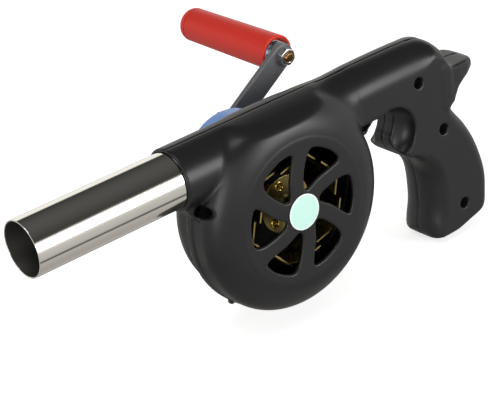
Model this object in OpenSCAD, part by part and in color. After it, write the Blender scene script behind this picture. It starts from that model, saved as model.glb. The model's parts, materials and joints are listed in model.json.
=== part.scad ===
// Hand crank fan: a pistol-shaped blower with a steel nozzle, a vented drum and a geared crank.
// Millimetres. The origin is the centre of the nozzle mouth, X runs back along the nozzle,
// Y towards the crank side and Z up. The two moulded halves meet in the plane y = 0.

/* [Nozzle] */
// Outside diameter of the steel tube
tube_d = 28; // [24:0.5:29]
// Wall of the steel tube
tube_wall = 0.7; // [0.5:0.1:1.5]
// Length of tube that stands out of the housing
tube_reach = 81.5; // [50:1:120]
// Length of tube held inside the housing
tube_seat = 20; // [12:1:22]

/* [Housing] */
// Radius of the round barrel that holds the tube
barrel_r = 15.5; // [15.4:0.1:16.5]
// Wall of the moulded halves
wall = 2.2; // [1.6:0.1:2.4]
// From the tube's end of the barrel back to the fan axis
fan_back = 58; // [56:0.5:62]
// Height of the barrel axis over the fan axis
fan_drop = 34; // [33:0.5:36]
// Radius of the drum on the vented side
drum_r = 52.7; // [51.5:0.1:54]
// Depth of the drum on the vented side
drum_depth = 22.2; // [21.8:0.1:24]
// Radius of the drum on the crank side
case_r = 50; // [49.5:0.1:51]
// Depth of the drum on the crank side
case_depth = 22; // [21.9:0.1:23]
// Outer radius of the ring of vent windows
vent_r = 31.7; // [29:0.1:32.5]
// Number of vent windows
vent_count = 6; // [4:1:6]
// Radius of the disc over the hub
badge_r = 9.3; // [7:0.1:10]

/* [Grip] */
// From the fan axis back to the tip of the thumb rest
tail_reach = 130.8; // [128:0.5:136]
// From the barrel axis down to the butt
grip_drop = 94.6; // [92:0.5:104]
// Half of the grip's width
grip_half = 14.2; // [13.6:0.1:15]
// Radius of the finger scoop beside the trigger
scoop_r = 14.6; // [13:0.1:15]

/* [Crank] */
// From the crank axis to the handle axis
crank_throw = 61.4; // [56:0.2:70]
// Angle of the crank arm above the barrel's line
crank_angle = 33.5; // [0:0.5:60]
// Width of the crank arm
arm_w = 12.2; // [11:0.1:14]
// Thickness of the crank arm
arm_t = 3; // [2.5:0.1:4]
// Radius of the handle beside the arm
handle_r = 9.3; // [8.8:0.1:11]
// Length of the handle
handle_l = 71.6; // [60:0.5:85]

/* [Gears] */
// Module of the teeth: pitch diameter over tooth count
gear_m = 0.8; // [0.78:0.01:0.81]
// Face width of the drive gear
drive_w = 3; // [2.6:0.1:3]
// Face width of the idler's large wheel
idler_w = 3.4; // [2.8:0.1:3.6]

/* [Impeller] */
// Radius over the tips of the blades
impeller_r = 36.5; // [33:0.5:40]
// Thickness of the pressed sheet
sheet_t = 0.8; // [0.6:0.1:1]

/* [Hidden] */
$fn = 96;

// Clearances and the overrun of cuts
over = 1;
skim = 0.3;
seat_gap = 0.05;
free_gap = 0.3;
play = 0.04;

// Fan axis and crank axis
fan_x = tube_reach + fan_back;
fan_z = -fan_drop;
crank_back_share = -0.123;
crank_rise_share = 0.304;
crank_x = fan_x + crank_back_share * drum_r;
crank_z = fan_z + crank_rise_share * drum_r;

// Tooth counts, first wheel to last pinion
drive_z = 48;
small_z = 12;
large_z = 36;
pinion_z = 12;
drive_pitch = gear_m * drive_z / 2;
small_pitch = gear_m * small_z / 2;
large_pitch = gear_m * large_z / 2;
pinion_pitch = gear_m * pinion_z / 2;
// Idler axis: the third corner of the triangle of centre distances
to_fan = sqrt(pow(fan_x - crank_x, 2) + pow(fan_z - crank_z, 2));
reach_a = drive_pitch + small_pitch;
reach_b = large_pitch + pinion_pitch;
along = (pow(reach_a, 2) - pow(reach_b, 2) + pow(to_fan, 2)) / (2 * to_fan);
aside = sqrt(pow(reach_a, 2) - pow(along, 2));
unit_x = (fan_x - crank_x) / to_fan;
unit_z = (fan_z - crank_z) / to_fan;
idler_x = crank_x + along * unit_x + aside * unit_z;
idler_z = crank_z + along * unit_z - aside * unit_x;
line_a = atan2(idler_z - crank_z, idler_x - crank_x);
line_b = atan2(fan_z - idler_z, fan_x - idler_x);

// Barrel, tube seat and duct. The seated end of the tube is drawn down a little, from just before the barrel
tube_r = tube_d / 2;
seat_step = 0.4;
seat_r = tube_r - seat_step;
seat_start = tube_reach - over;
duct_r = tube_r - tube_wall;
duct_wall = 1.9;
seat_end = tube_reach + tube_seat;
duct_end_share = 0.35;
barrel_end_share = 0.357;
duct_end = fan_x + duct_end_share * tail_reach;

// Drum: rim band at the joint, shoulder and flat face
lip_out = 0.6;
lip_w = 4.4;
rim_share = 0.5;
face_share = 0.67;
case_rim_share = 0.36;
case_face_share = 0.66;
roof_r = 55;
roof_low = 0.5;
// Roof of the crank side, from the joint outwards and down, as shares of case_depth and barrel_r
case_roof_shares = [
    [0, 0.968], [0.25, 0.94], [0.45, 0.77], [0.62, 0.60], [0.78, 0.33], [0.92, -0.05], [1.04, -0.6], [1.04, -8]
];
case_roof_in = 1.7;
face_in = drum_depth - wall;
case_in = case_depth - wall;
nub_r = 1.6;
nub_angle = 230;

// Hub inside the vented face
hub_r = 6.5;
hub_l = 4.4;
badge_t = 0.8;

// Plate that carries the shafts
plate_t = 2.4;
plate_y = 5.6;
plate_back = plate_y + plate_t;
plate_gap = 0.4;
ear_r = 7.5;
post_r = 3.4;
post_ring_share = 0.87;
post_l = 7.5;
post_angles = [-22, -100, -158];

// Gear planes along y
large_y0 = plate_back + 1.6;
clip_room = 1.3;
drive_y1 = case_in - clip_room;
drive_y0 = drive_y1 - drive_w;
pinion_y0 = plate_back + 1.2;
pinion_w = idler_w + gear_m;
clip_t = 0.7;
groove = 0.5;

// Shafts
crank_r = 3;
fan_shaft_r = 2.5;
pin_r = 2;
bush_t = 1.5;
flange_t = 0.8;
flange_w = 1.6;
shaft_end = drive_y0 - gear_m;

// Raised pad and blue cover over the drive gear
tooth_room = 1.2;
pad_in_r = drive_pitch + gear_m + tooth_room;
pad_wall = 4;
pad_r = pad_in_r + pad_wall;
pad_y = case_depth + 1;
pad_foot = duct_r + free_gap;
cover_wall = 2;
cover_t = 3;
cover_r = pad_r + free_gap + cover_wall;
cover_y = pad_y + cover_t;
tower_r = 9;
tower_l = 6.6;
tower_y = cover_y + tower_l;
cover_screw_angles = [90, 210, 330];

// Crank arm, its screw and the handle along y
arm_gap = 3.7;
arm_y0 = tower_y + arm_gap;
arm_y1 = arm_y0 + arm_t;
tenon = 4.2;
washer_r = 5.5;
washer_t = 1;
arm_screw_r = 1.6;
arm_screw_l = 10;
arm_head_r = 3.4;
arm_head_t = 2.4;
bolt_r = 2.5;
spindle_r = 3;
nut_w = 8;
nut_t = 4;
bolt_tip = 1;
collar_r = 6.2;
collar_t = 4.6;
collar_y1 = arm_y1 + collar_t;
handle_y0 = arm_y1 + 1.9;
handle_y1 = handle_y0 + handle_l;
handle_recess_r = 7.5;
handle_far_share = 0.945;
handle_x = crank_x + crank_throw * cos(crank_angle);
handle_z = crank_z + crank_throw * sin(crank_angle);
cap_l = 6;
bolt_head_r = 4.6;
bolt_head_t = 3.4;
pocket_r = 5.4;
pocket_l = 7;
cap_plug = 3;

// Screws
screw_r = 1.3;
pilot_gap = 0.05;
screw_hole_r = 1.7;
screw_head_r = 2.6;
screw_head_t = 1.8;
sink_r = 2.95;
sink_l = 5.2;
boss_r = 4.7;
nut_boss_r = 3.7;
screw_grip = 9;
lug_y = 9.2;
lug_sink = 3.6;
lug_r = 4.9;
cover_screw_r = 1.1;
cover_screw_head_r = 2.1;
cover_screw_head_t = 1.3;
cover_screw_grip = 5;

// Places on the grip, as shares of tail_reach and grip_drop from the fan axis and barrel axis
case_screw_shares = [[0.667, 0.023], [0.774, 0.347], [0.851, 0.836]];
scoop_shares = [0.521, 0.252];
// Lug places as shares of drum_r from the fan axis
front_lug_shares = [-0.947, 0.330];
rear_lug_shares = [1.03, 0.379];

// Side outline of the frame's top and back, as shares of tail_reach and barrel_r, from the barrel to the notch
rear_shares = [
    [0.155, 0], [0.16, 0.82], [0.30, 0.92], [0.38, 0.96], [0.44, 0.99], [0.57, 1.0], [0.70, 0.975], [0.776, 0.88],
    [0.82, 0.55], [0.836, 0.16], [0.846, -0.12]
];
// Side outline of the grip and trigger, as shares of tail_reach and grip_drop, from the notch down and back up
grip_shares = [
    [0.852, 0.10], [0.859, 0.211], [0.846, 0.259], [0.872, 0.317], [0.917, 0.402], [0.964, 0.534],
    [0.997, 0.698], [0.995, 0.825], [0.967, 0.934], [0.875, 0.968], [0.780, 0.999], [0.712, 1],
    [0.687, 0.909], [0.701, 0.793], [0.698, 0.613], [0.674, 0.518], [0.631, 0.450], [0.589, 0.423],
    [0.559, 0.365], [0.550, 0.312], [0.565, 0.273], [0.577, 0.217], [0.568, 0.159], [0.524, 0.128],
    [0.32, 0.1265], [0.16, 0.125]
];
// How far the edge rounding reaches in along y and in from the outline, as shares of grip_half
rear_round_shares = [
    [0.3, 0.3], [0.9, 0.8], [0.96, 0.94], [0.96, 0.95], [0.96, 0.95], [0.96, 0.95], [0.94, 0.9], [0.9, 0.6],
    [0.7, 0.45], [0.5, 0.25], [0.4, 0.2]
];
grip_round_shares = [
    [0.4, 0.25], [0.5, 0.42], [0.5, 0.45], [0.5, 0.48], [0.5, 0.48], [0.5, 0.48],
    [0.5, 0.48], [0.5, 0.42], [0.4, 0.3], [0.25, 0.18], [0.25, 0.2], [0.4, 0.3],
    [0.9, 0.6], [0.9, 0.66], [0.9, 0.64], [0.8, 0.45], [0.5, 0.25], [0.3, 0.16],
    [0.3, 0.13], [0.3, 0.13], [0.3, 0.13], [0.3, 0.13], [0.3, 0.13], [0.25, 0.2],
    [0.25, 0.2], [0.25, 0.2]
];
// The hollow inside, in the same shares, clear of the scoop and the thumb rest
hollow_top_shares = [
    [0.40, 0.1], [0.405, 0.6], [0.45, 0.94], [0.55, 0.99], [0.70, 0.965], [0.776, 0.88], [0.82, 0.55], [0.834, 0.1]
];
hollow_low_shares = [
    [0.838, 0.13], [0.834, 0.25], [0.86, 0.317], [0.908, 0.402], [0.955, 0.534], [0.988, 0.698],
    [0.982, 0.82], [0.945, 0.90], [0.87, 0.94], [0.79, 0.955],
    [0.735, 0.793], [0.725, 0.613], [0.70, 0.518], [0.668, 0.42], [0.654, 0.3], [0.650, 0.128], [0.40, 0.126]
];
hollow_top_round_shares = [
    [0.4, 0.25], [0.6, 0.45], [0.9, 0.8], [0.96, 0.95], [0.96, 0.95], [0.94, 0.88], [0.9, 0.6], [0.6, 0.4]
];
hollow_round_shares = [0.45, 0.27];
// Thumb rest: side outline as shares of tail_reach and barrel_r, then half its plan as shares of
// tail_reach and grip_half
rest_side_shares = [
    [0.791, -0.1], [0.829, -0.11], [0.875, -0.165], [0.936, -0.21], [0.975, -0.26], [0.996, -0.335],
    [1.001, -0.44], [0.992, -0.54], [0.967, -0.63], [0.939, -0.73], [0.906, -0.85], [0.883, -0.97],
    [0.862, -1.23], [0.845, -1.4], [0.791, -1.4]
];
rest_plan_shares = [
    [0.79, 0.98], [0.845, 0.97], [0.89, 0.94], [0.94, 0.84], [0.975, 0.70], [0.992, 0.50], [1.001, 0.25], [1.004, 0]
];

// One vent window: radius as a share of vent_r, then its angle
window_shares = [
    [0.99, 40], [1, 48], [1, 56], [1, 64], [0.985, 72], [0.88, 76.5], [0.68, 79.5], [0.46, 81],
    [0.36, 77], [0.345, 68], [0.42, 58], [0.56, 49], [0.74, 40], [0.88, 36], [0.965, 35.5]
];
// Radius of a ring of six that leaves the spokes their width when the count changes
window_turn = 360 / vent_count;
window_squeeze = min(1, 6 / vent_count);

// Impeller arms
arm_turn = 44.3;
blade_count = 6;
arm_half = 5.6;
wheel_y = -8;
disc_r = 13.6;
blade_front = -16.2;
blade_back = 1.4;
rivet_ring = 10.7;
rivet_r = 1.7;
rivet_head_r = 2.7;
rivet_head_t = 0.7;
rivet_hole_r = 1;
fan_hub_r = 5.6;
fan_hub_front = -12;
fan_hub_back = -1.6;
fan_flange_t = 1.2;

// Curve through chosen points, three steps to each
function at(list, i) = list[(i + len(list)) % len(list)];
function blend(a, b, c, d, t) =
    0.5 * (2 * b + (c - a) * t + (2 * a - 5 * b + 4 * c - d) * t * t
           + (3 * b - a - 3 * c + d) * t * t * t);
function smooth(list, steps) = [
    for (i = [0:len(list) - 1], s = [0:steps - 1])
        blend(at(list, i - 1), at(list, i), at(list, i + 1), at(list, i + 2), s / steps)
];
function scaled(shares, a, b) = [for (p = shares) [fan_x + p[0] * a, p[1] * b]];
// Unit normal that points into the outline, which runs clockwise
function inward(list, i) =
    let (d = at(list, i + 1) - at(list, i - 1), n = norm(d))
    [d[1] / n, -d[0] / n];

most_round_share = 0.96;
// Rings of a half shell: the outline at the joint, then drawn in round its edge to the flat side
function ring_point(line, rounds, i, f, half, inset, side) =
    let (ry = min(rounds[i][0], most_round_share) * half, rx = rounds[i][1] * half, n = inward(line, i))
    [line[i][0] + n[0] * (inset + rx * (1 - cos(f))),
     side * (half - ry + ry * sin(f)),
     line[i][1] + n[1] * (inset + rx * (1 - cos(f)))];
module pillow(line, rounds, half, inset, side, bands, past) {
    n = len(line);
    joint = [for (i = [0:n - 1]) let (d = inward(line, i))
        [line[i][0] + d[0] * inset, -side * (past + over), line[i][1] + d[1] * inset]];
    rings = [for (k = [0:bands], i = [0:n - 1])
        ring_point(line, rounds, i, 90 * k / bands, half + skim, inset, side)];
    points = concat(joint, rings);
    walls = [for (k = [0:bands], i = [0:n - 1]) let (j = (i + 1) % n)
        each [[k * n + i, k * n + j, (k + 1) * n + j], [k * n + i, (k + 1) * n + j, (k + 1) * n + i]]];
    flip = side < 0;
    first = [for (i = [0:n - 1]) i];
    last = [for (i = [0:n - 1]) (bands + 1) * n + i];
    back = [for (i = [n - 1:-1:0]) i];
    last_back = [for (i = [n - 1:-1:0]) (bands + 1) * n + i];
    turned_walls = [for (w = walls) [w[2], w[1], w[0]]];
    intersection() {
        polyhedron(points, flip ? concat(walls, [back, last]) : concat(turned_walls, [first, last_back]));
        translate([0, side > 0 ? -past : -half, -2 * grip_drop])
            cube([2 * (fan_back + tube_reach + tail_reach), half + past, 4 * grip_drop]);
    }
}

// A bar along y, a sheet between two values of y, and a turned shape about an axis along y
module rod(x, z, y0, y1, r) {
    translate([x, y0, z]) rotate([-90, 0, 0]) cylinder(h = y1 - y0, r = r);
}
module slab(y0, y1) {
    translate([0, y1, 0]) rotate([90, 0, 0]) linear_extrude(y1 - y0) children();
}
module turned(x, z) {
    translate([x, 0, z]) rotate([-90, 0, 0]) rotate_extrude() children();
}
module bar_x(x0, x1, r0, r1) {
    translate([x0, 0, 0]) rotate([0, 90, 0]) cylinder(h = x1 - x0, r1 = r0, r2 = r1);
}
// Everything beyond the joint, cut from each half
module beyond_joint(side) {
    long = tube_reach + fan_back + 2 * tail_reach;
    deep = 2 * drum_depth;
    translate([-over, side > 0 ? -deep : 0, -2 * grip_drop]) cube([long, deep, 4 * grip_drop]);
}

// Profile of a drum half: radius against depth, with a rounded shoulder
shoulder_steps = 8;
function drum_profile(r, depth, face_r, rim, side, lip, past) = concat(
    [[0, -side * past]],
    lip > 0 ? [[r + lip, -side * past], [r + lip, side * lip_w], [r, side * (lip_w + lip)]] : [[r, -side * past]],
    [[r, side * rim]],
    [for (k = [1:shoulder_steps - 1]) let (f = 90 * k / shoulder_steps)
        [face_r + (r - face_r) * cos(f), side * (rim + (depth - rim) * sin(f))]],
    [[face_r, side * depth], [0, side * depth]]
);
module drum(r, depth, face_r, rim, side, roof, lip, past) {
    intersection() {
        turned(fan_x, fan_z) polygon(drum_profile(r, depth, face_r, rim, side, lip, past));
        translate([0, 0, barrel_r - roof_low - roof_r]) bar_x(over, fan_x + 2 * drum_r, roof, roof);
    }
}
module case_roof(inset) {
    edge = [for (p = case_roof_shares) [p[0] * case_depth - inset, p[1] * barrel_r - inset]];
    low = edge[len(edge) - 1][1];
    translate([over, 0, 0]) rotate([90, 0, 90]) linear_extrude(fan_x + 2 * drum_r)
        polygon(concat([[-6 * over, edge[0][1]]], edge, [[-6 * over, low]]));
}
module case_drum(r, depth, face_r, rim, inset, past) {
    intersection() {
        turned(fan_x, fan_z) polygon(drum_profile(r, depth, face_r, rim, 1, 0, past));
        case_roof(inset);
    }
}
function place(share) = [fan_x + share[0] * tail_reach, -share[1] * grip_drop];
function lug_place(share) = [fan_x + share[0] * drum_r, fan_z + (share[1]) * drum_r];
front_lug = lug_place(front_lug_shares);
rear_lug = lug_place(rear_lug_shares);

outline = smooth(concat(scaled(rear_shares, tail_reach, barrel_r), scaled(grip_shares, tail_reach, -grip_drop)), 2);
edges = smooth(concat(rear_round_shares, grip_round_shares), 2);
hollow = smooth(concat(scaled(hollow_top_shares, tail_reach, barrel_r),
                       scaled(hollow_low_shares, tail_reach, -grip_drop)), 2);
hollow_edges = smooth(concat(hollow_top_round_shares, [for (p = hollow_low_shares) hollow_round_shares]), 2);

module frame_half(side) {
    pillow(outline, edges, grip_half, 0, side, 4, 2 * over);
    plan = [for (p = rest_plan_shares) [fan_x + p[0] * tail_reach, side * p[1] * grip_half]];
    intersection() {
        slab(side > 0 ? -3 * over : -grip_half, side > 0 ? grip_half : 3 * over)
            polygon(scaled(rest_side_shares, tail_reach, barrel_r));
        translate([0, 0, -2 * barrel_r]) linear_extrude(2 * barrel_r)
            polygon(concat(plan, [[plan[7][0], -side * 4 * over], [plan[0][0], -side * 4 * over]]));
    }
}
module frame_hollow(side) {
    pillow(hollow, hollow_edges, grip_half - wall, wall, side, 3, 5 * over);
}
module barrel() {
    bar_x(tube_reach, fan_x + barrel_end_share * tail_reach, barrel_r, barrel_r);
}
// Ear under the barrel with room for a screw: a round nose and a wedge that joins it to the housing
module lug(at_xz, side) {
    y0 = side > 0 ? -over : -lug_y;
    y1 = side > 0 ? lug_y : over;
    rise = barrel_r * 0.7;
    rod(at_xz[0], at_xz[1], y0, y1, lug_r);
    slab(y0 + play, y1 - play) polygon([
        [at_xz[0] - lug_r * 0.9, at_xz[1]], [at_xz[0] - lug_r * 1.55, -rise],
        [at_xz[0] + lug_r * 1.8, -rise], [at_xz[0] + lug_r * 0.9, at_xz[1]]
    ]);
}
module lugs(side) {
    lug(front_lug, side);
    lug(rear_lug, side);
}
module scoop(side) {
    at_xz = place(scoop_shares);
    floor_share = 0.44;
    y_floor = grip_half * floor_share;
    dish = grip_half - y_floor;
    translate([at_xz[0], 0, at_xz[1]]) rotate([-90 * side, 0, 0]) rotate_extrude() polygon(concat(
        [[0, y_floor], [scoop_r - dish, y_floor]],
        [for (k = [1:5]) let (f = 90 * k / 6)
            [scoop_r - dish + dish * sin(f), grip_half - dish * cos(f)]],
        [[scoop_r, grip_half], [scoop_r, grip_half + over], [0, grip_half + over]]
    ));
}
module windows() {
    pts = smooth([for (p = window_shares)
        let (a = p[1] * window_squeeze, r = p[0] * vent_r) [r * cos(a), r * sin(a)]], 2);
    translate([fan_x, 0, fan_z]) for (k = [0:vent_count - 1])
        rotate([0, -k * window_turn, 0])
            slab(-drum_depth - over, -face_in + over) polygon(pts);
}
function case_screws_at() = [for (s = case_screw_shares) place(s)];

module left_shell() {
    rim = drum_depth * rim_share;
    face_r = drum_r * face_share;
    color("#39393b") difference() {
        union() {
            difference() {
                union() {
                    drum(drum_r, drum_depth, face_r, rim, -1, roof_r, lip_out, 1.5 * over);
                    barrel();
                    frame_half(-1);
                    lugs(-1);
                    rod(fan_x + (drum_r + lip_out) * cos(nub_angle), fan_z + (drum_r + lip_out) * sin(nub_angle),
                        -lip_w / 2, 0.5 * over, nub_r);
                }
                drum(drum_r - wall, face_in, face_r - wall, rim, -1, roof_r - wall, 0, 4 * over);
                frame_hollow(-1);
            }
            for (p = case_screws_at()) rod(p[0], p[1], -grip_half + wall / 2, over, boss_r);
            rod(fan_x, fan_z, -face_in - wall / 2, -face_in + hub_l, hub_r);
        }
        bar_x(tube_reach - over, seat_end, seat_r + seat_gap, seat_r + seat_gap);
        bar_x(tube_reach, duct_end, duct_r, duct_r);
        beyond_joint(-1);
        scoop(-1);
        windows();
        rod(fan_x, fan_z, -face_in, -face_in + hub_l + over, fan_shaft_r + play + bush_t);
        for (p = case_screws_at()) {
            rod(p[0], p[1], -grip_half - over, -grip_half + sink_l, sink_r);
            rod(p[0], p[1], -grip_half, over, screw_hole_r);
        }
        for (p = [front_lug, rear_lug]) {
            rod(p[0], p[1], -grip_half - over, -lug_y + lug_sink, sink_r);
            rod(p[0], p[1], -lug_y, over, screw_hole_r);
        }
    }
}

module right_shell() {
    rim = case_depth * case_rim_share;
    face_r = case_r * case_face_share;
    color("#343436") difference() {
        union() {
            difference() {
                union() {
                    case_drum(case_r, case_depth, face_r, rim, 0, 1.5 * over);
                    barrel();
                    frame_half(1);
                    lugs(1);
                    rod(crank_x, crank_z, pad_foot, pad_y, pad_r);
                }
                case_drum(case_r - wall, case_in, face_r - wall, rim, case_roof_in, 4 * over);
                frame_hollow(1);
            }
            for (p = case_screws_at()) rod(p[0], p[1], -over, grip_half - wall / 2, nut_boss_r);
            for (a = post_angles)
                rod(fan_x + case_r * post_ring_share * cos(a), fan_z + case_r * post_ring_share * sin(a),
                    plate_back, plate_back + post_l, post_r);
            rod(idler_x, idler_z, drive_y1 + clip_t + free_gap, case_in + wall / 2, pin_r + wall);
            intersection() {
                bar_x(tube_reach + wall, duct_end + wall, duct_r + duct_wall, duct_r + duct_wall);
                translate([0, plate_back + play, -barrel_r]) cube([2 * fan_x, barrel_r, 2 * barrel_r]);
            }
        }
        bar_x(tube_reach - over, seat_end, seat_r + seat_gap, seat_r + seat_gap);
        bar_x(tube_reach, duct_end, duct_r, duct_r);
        beyond_joint(1);
        rod(crank_x, crank_z, duct_r + duct_wall + play, pad_y + over, pad_in_r);
        scoop(1);
        rod(idler_x, idler_z, drive_y1, case_in + wall / 2, pin_r + play / 2);
        for (p = case_screws_at()) rod(p[0], p[1], -over, screw_grip + free_gap, screw_r + pilot_gap);
        for (p = [front_lug, rear_lug]) rod(p[0], p[1], -over, lug_y - wall / 2, screw_r + pilot_gap);
        for (a = post_angles)
            rod(fan_x + case_r * post_ring_share * cos(a), fan_z + case_r * post_ring_share * sin(a),
                plate_back - over, plate_back + post_l - free_gap, screw_r + pilot_gap);
        for (a = cover_screw_angles)
            rod(crank_x + (pad_r - pad_wall / 2) * cos(a), crank_z + (pad_r - pad_wall / 2) * sin(a),
                pad_y - cover_screw_grip - free_gap, pad_y + over, cover_screw_r + pilot_gap);
    }
}

module nozzle_tube() {
    color("#c9c6c0") difference() {
        union() {
            bar_x(0, seat_start, tube_r, tube_r);
            bar_x(seat_start - over, seat_end, seat_r, seat_r);
        }
        bar_x(-over, seat_end + over, duct_r, duct_r);
    }
}
module hub_badge() {
    color("#cff5ea") turned(fan_x, fan_z) polygon([
        [0, -drum_depth], [badge_r, -drum_depth], [badge_r, -drum_depth - badge_t / 2],
        [badge_r - badge_t / 2, -drum_depth - badge_t], [0, -drum_depth - badge_t]
    ]);
}
module gear_cover() {
    color("#5d8fe0") difference() {
        turned(crank_x, crank_z) polygon([
            [crank_r + play + bush_t + play / 2, pad_y], [pad_r + free_gap, pad_y],
            [pad_r + free_gap, pad_y - cover_wall / 2], [cover_r, pad_y - cover_wall / 2],
            [cover_r, cover_y - cover_wall], [cover_r - cover_wall / 3, cover_y - cover_wall / 2],
            [cover_r - cover_wall, cover_y - cover_wall / 6], [cover_r - 1.5 * cover_wall, cover_y],
            [tower_r + cover_wall / 2, cover_y], [tower_r, cover_y + cover_wall / 2],
            [tower_r, tower_y - cover_wall / 3], [tower_r - cover_wall / 3, tower_y],
            [crank_r + play + bush_t + play / 2, tower_y]
        ]);
        for (a = cover_screw_angles)
            rod(crank_x + (pad_r - pad_wall / 2) * cos(a), crank_z + (pad_r - pad_wall / 2) * sin(a),
                pad_y - over, cover_y + over, cover_screw_r + pilot_gap);
    }
}
module bearing_plate() {
    plate_r = case_r - wall - plate_gap;
    top = -duct_r - plate_gap;
    color("#2f2f31") difference() {
        union() {
            intersection() {
                rod(fan_x, fan_z, plate_y, plate_back, plate_r);
                translate([fan_x - plate_r, plate_y, fan_z - plate_r]) cube([2 * plate_r, plate_t, plate_r + top - fan_z]);
            }
            rod(crank_x, crank_z, plate_y, plate_back, ear_r);
        }
        rod(fan_x, fan_z, plate_y - over, plate_back + over, fan_shaft_r + play + bush_t);
        rod(crank_x, crank_z, plate_y - over, plate_back + over, crank_r + play + bush_t);
        rod(idler_x, idler_z, plate_y - over, plate_back + over, pin_r + play / 2);
        for (a = post_angles)
            rod(fan_x + case_r * post_ring_share * cos(a), fan_z + case_r * post_ring_share * sin(a),
                plate_y - over, plate_back + over, screw_hole_r);
    }
}

// Plain bearings: a sleeve with an optional flange at its first end
module bush(x, z, y0, y1, bore, out, flange) {
    difference() {
        union() {
            rod(x, z, y0, y1, out);
            if (flange > 0) rod(x, z, y0, y0 + flange, out + flange_w);
        }
        rod(x, z, y0 - over, y1 + over, bore);
    }
}
module shaft_bushes() {
    out = fan_shaft_r + play + bush_t;
    color("#b0803c") {
        bush(fan_x, fan_z, -face_in, -face_in + hub_l, fan_shaft_r + play, out, 0);
        bush(fan_x, fan_z, plate_y - flange_t, plate_back, fan_shaft_r + play, out, flange_t);
    }
}
module crank_bushes() {
    out = crank_r + play + bush_t;
    color("#b0803c") {
        bush(crank_x, crank_z, plate_y - flange_t, plate_back, crank_r + play, out, flange_t);
        bush(crank_x, crank_z, pad_y - flange_t, tower_y, crank_r + play, out, flange_t);
    }
}
module idler_pin() {
    color("#c4c6c8") difference() {
        union() {
            rod(idler_x, idler_z, plate_y, case_in + wall / 2 - play, pin_r);
            rod(idler_x, idler_z, plate_y - flange_t, plate_y, pin_r + flange_w);
        }
        difference() {
            rod(idler_x, idler_z, drive_y1 + free_gap / 2, drive_y1 + free_gap / 2 + clip_t, pin_r + over);
            rod(idler_x, idler_z, drive_y1, drive_y1 + clip_t + over, pin_r - groove / 2);
        }
    }
}
// Spring clip for a groove: a ring with a mouth to one side
module clip(x, z, y0, r_in, r_out, turn) {
    translate([x, 0, z]) rotate([0, turn, 0]) difference() {
        rod(0, 0, y0, y0 + clip_t, r_out);
        rod(0, 0, y0 - over, y0 + clip_t + over, r_in);
        translate([0, y0 - over, -r_in * 0.8]) cube([r_out + over, clip_t + 2 * over, r_in * 1.6]);
    }
}
module idler_clip() {
    color("#8d9196") clip(idler_x, idler_z, drive_y1 + free_gap / 2, pin_r - groove / 2, pin_r + 1.5 * flange_w, 150);
}

// Pan-head screw from its seat along y
module screw(x, z, seat_y, tip_y, r, head_r, head_t) {
    color("#2b2b2d") difference() {
        union() {
            rod(x, z, seat_y - head_t * 0.6, seat_y, head_r);
            translate([x, seat_y - head_t, z]) rotate([-90, 0, 0])
                cylinder(h = head_t * 0.4, r1 = head_r * 0.75, r2 = head_r);
            rod(x, z, seat_y, tip_y - r, r);
            translate([x, tip_y - r, z]) rotate([-90, 0, 0]) cylinder(h = r, r1 = r, r2 = r / 4);
        }
        cross_w = head_r * 0.22;
        for (a = [0, 90]) translate([x, seat_y - head_t, z]) rotate([0, a, 0])
            translate([-head_r * 0.6, -over, -cross_w]) cube([head_r * 1.2, over + head_t / 2, 2 * cross_w]);
    }
}
module case_screws() {
    for (p = case_screws_at())
        screw(p[0], p[1], -grip_half + sink_l, screw_grip, screw_r, screw_head_r, screw_head_t);
    for (p = [front_lug, rear_lug])
        screw(p[0], p[1], -lug_y + lug_sink, lug_y - wall, screw_r, screw_head_r, screw_head_t);
}
module plate_screws() {
    for (a = post_angles)
        screw(fan_x + case_r * post_ring_share * cos(a), fan_z + case_r * post_ring_share * sin(a),
              plate_y, plate_back + post_l - over, screw_r, screw_head_r, screw_head_t);
}
module cover_screws() {
    for (a = cover_screw_angles)
        translate([0, 2 * cover_y, 0]) mirror([0, 1, 0])
            screw(crank_x + (pad_r - pad_wall / 2) * cos(a), crank_z + (pad_r - pad_wall / 2) * sin(a),
                  cover_y, cover_y + cover_t + cover_screw_grip,
                  cover_screw_r, cover_screw_head_r, cover_screw_head_t);
}

// Involute gear outline: flanks drawn from the base circle, thinned a little for running clearance
pressure = 22;
backlash_share = 0.11;
addendum_share = 0.95;
dedendum_share = 1.2;
function involute_turn(base, r) = let (c = acos(base / r)) tan(c) * 180 / PI - c;
function flank(base, r, half) = half - involute_turn(base, max(r, base));
function tooth_points(z) =
    let (
        pitch = gear_m * z / 2,
        base = pitch * cos(pressure),
        tip = pitch + gear_m * addendum_share,
        root = pitch - gear_m * dedendum_share,
        half = 90 / z * (1 - backlash_share) + involute_turn(base, pitch),
        low = max(root, base),
        radii = [for (k = [0:4]) low + (tip - low) * k / 4],
        foot = flank(base, low, half)
    )
    concat(
        [[root, -min(foot * 1.05, 170 / z)]],
        [for (r = radii) [r, -flank(base, r, half)]],
        [for (k = [4:-1:0]) [radii[k], flank(base, radii[k], half)]],
        [[root, min(foot * 1.05, 170 / z)]]
    );
module gear_shape(z, phase) {
    one = tooth_points(z);
    polygon([for (i = [0:z - 1], p = one)
        let (a = phase + p[1] + 360 * i / z) [p[0] * cos(a), p[0] * sin(a)]]);
}
module gear(x, z_place, y0, y1, teeth, phase) {
    translate([x, 0, z_place]) slab(y0, y1) gear_shape(teeth, phase);
}

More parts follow.
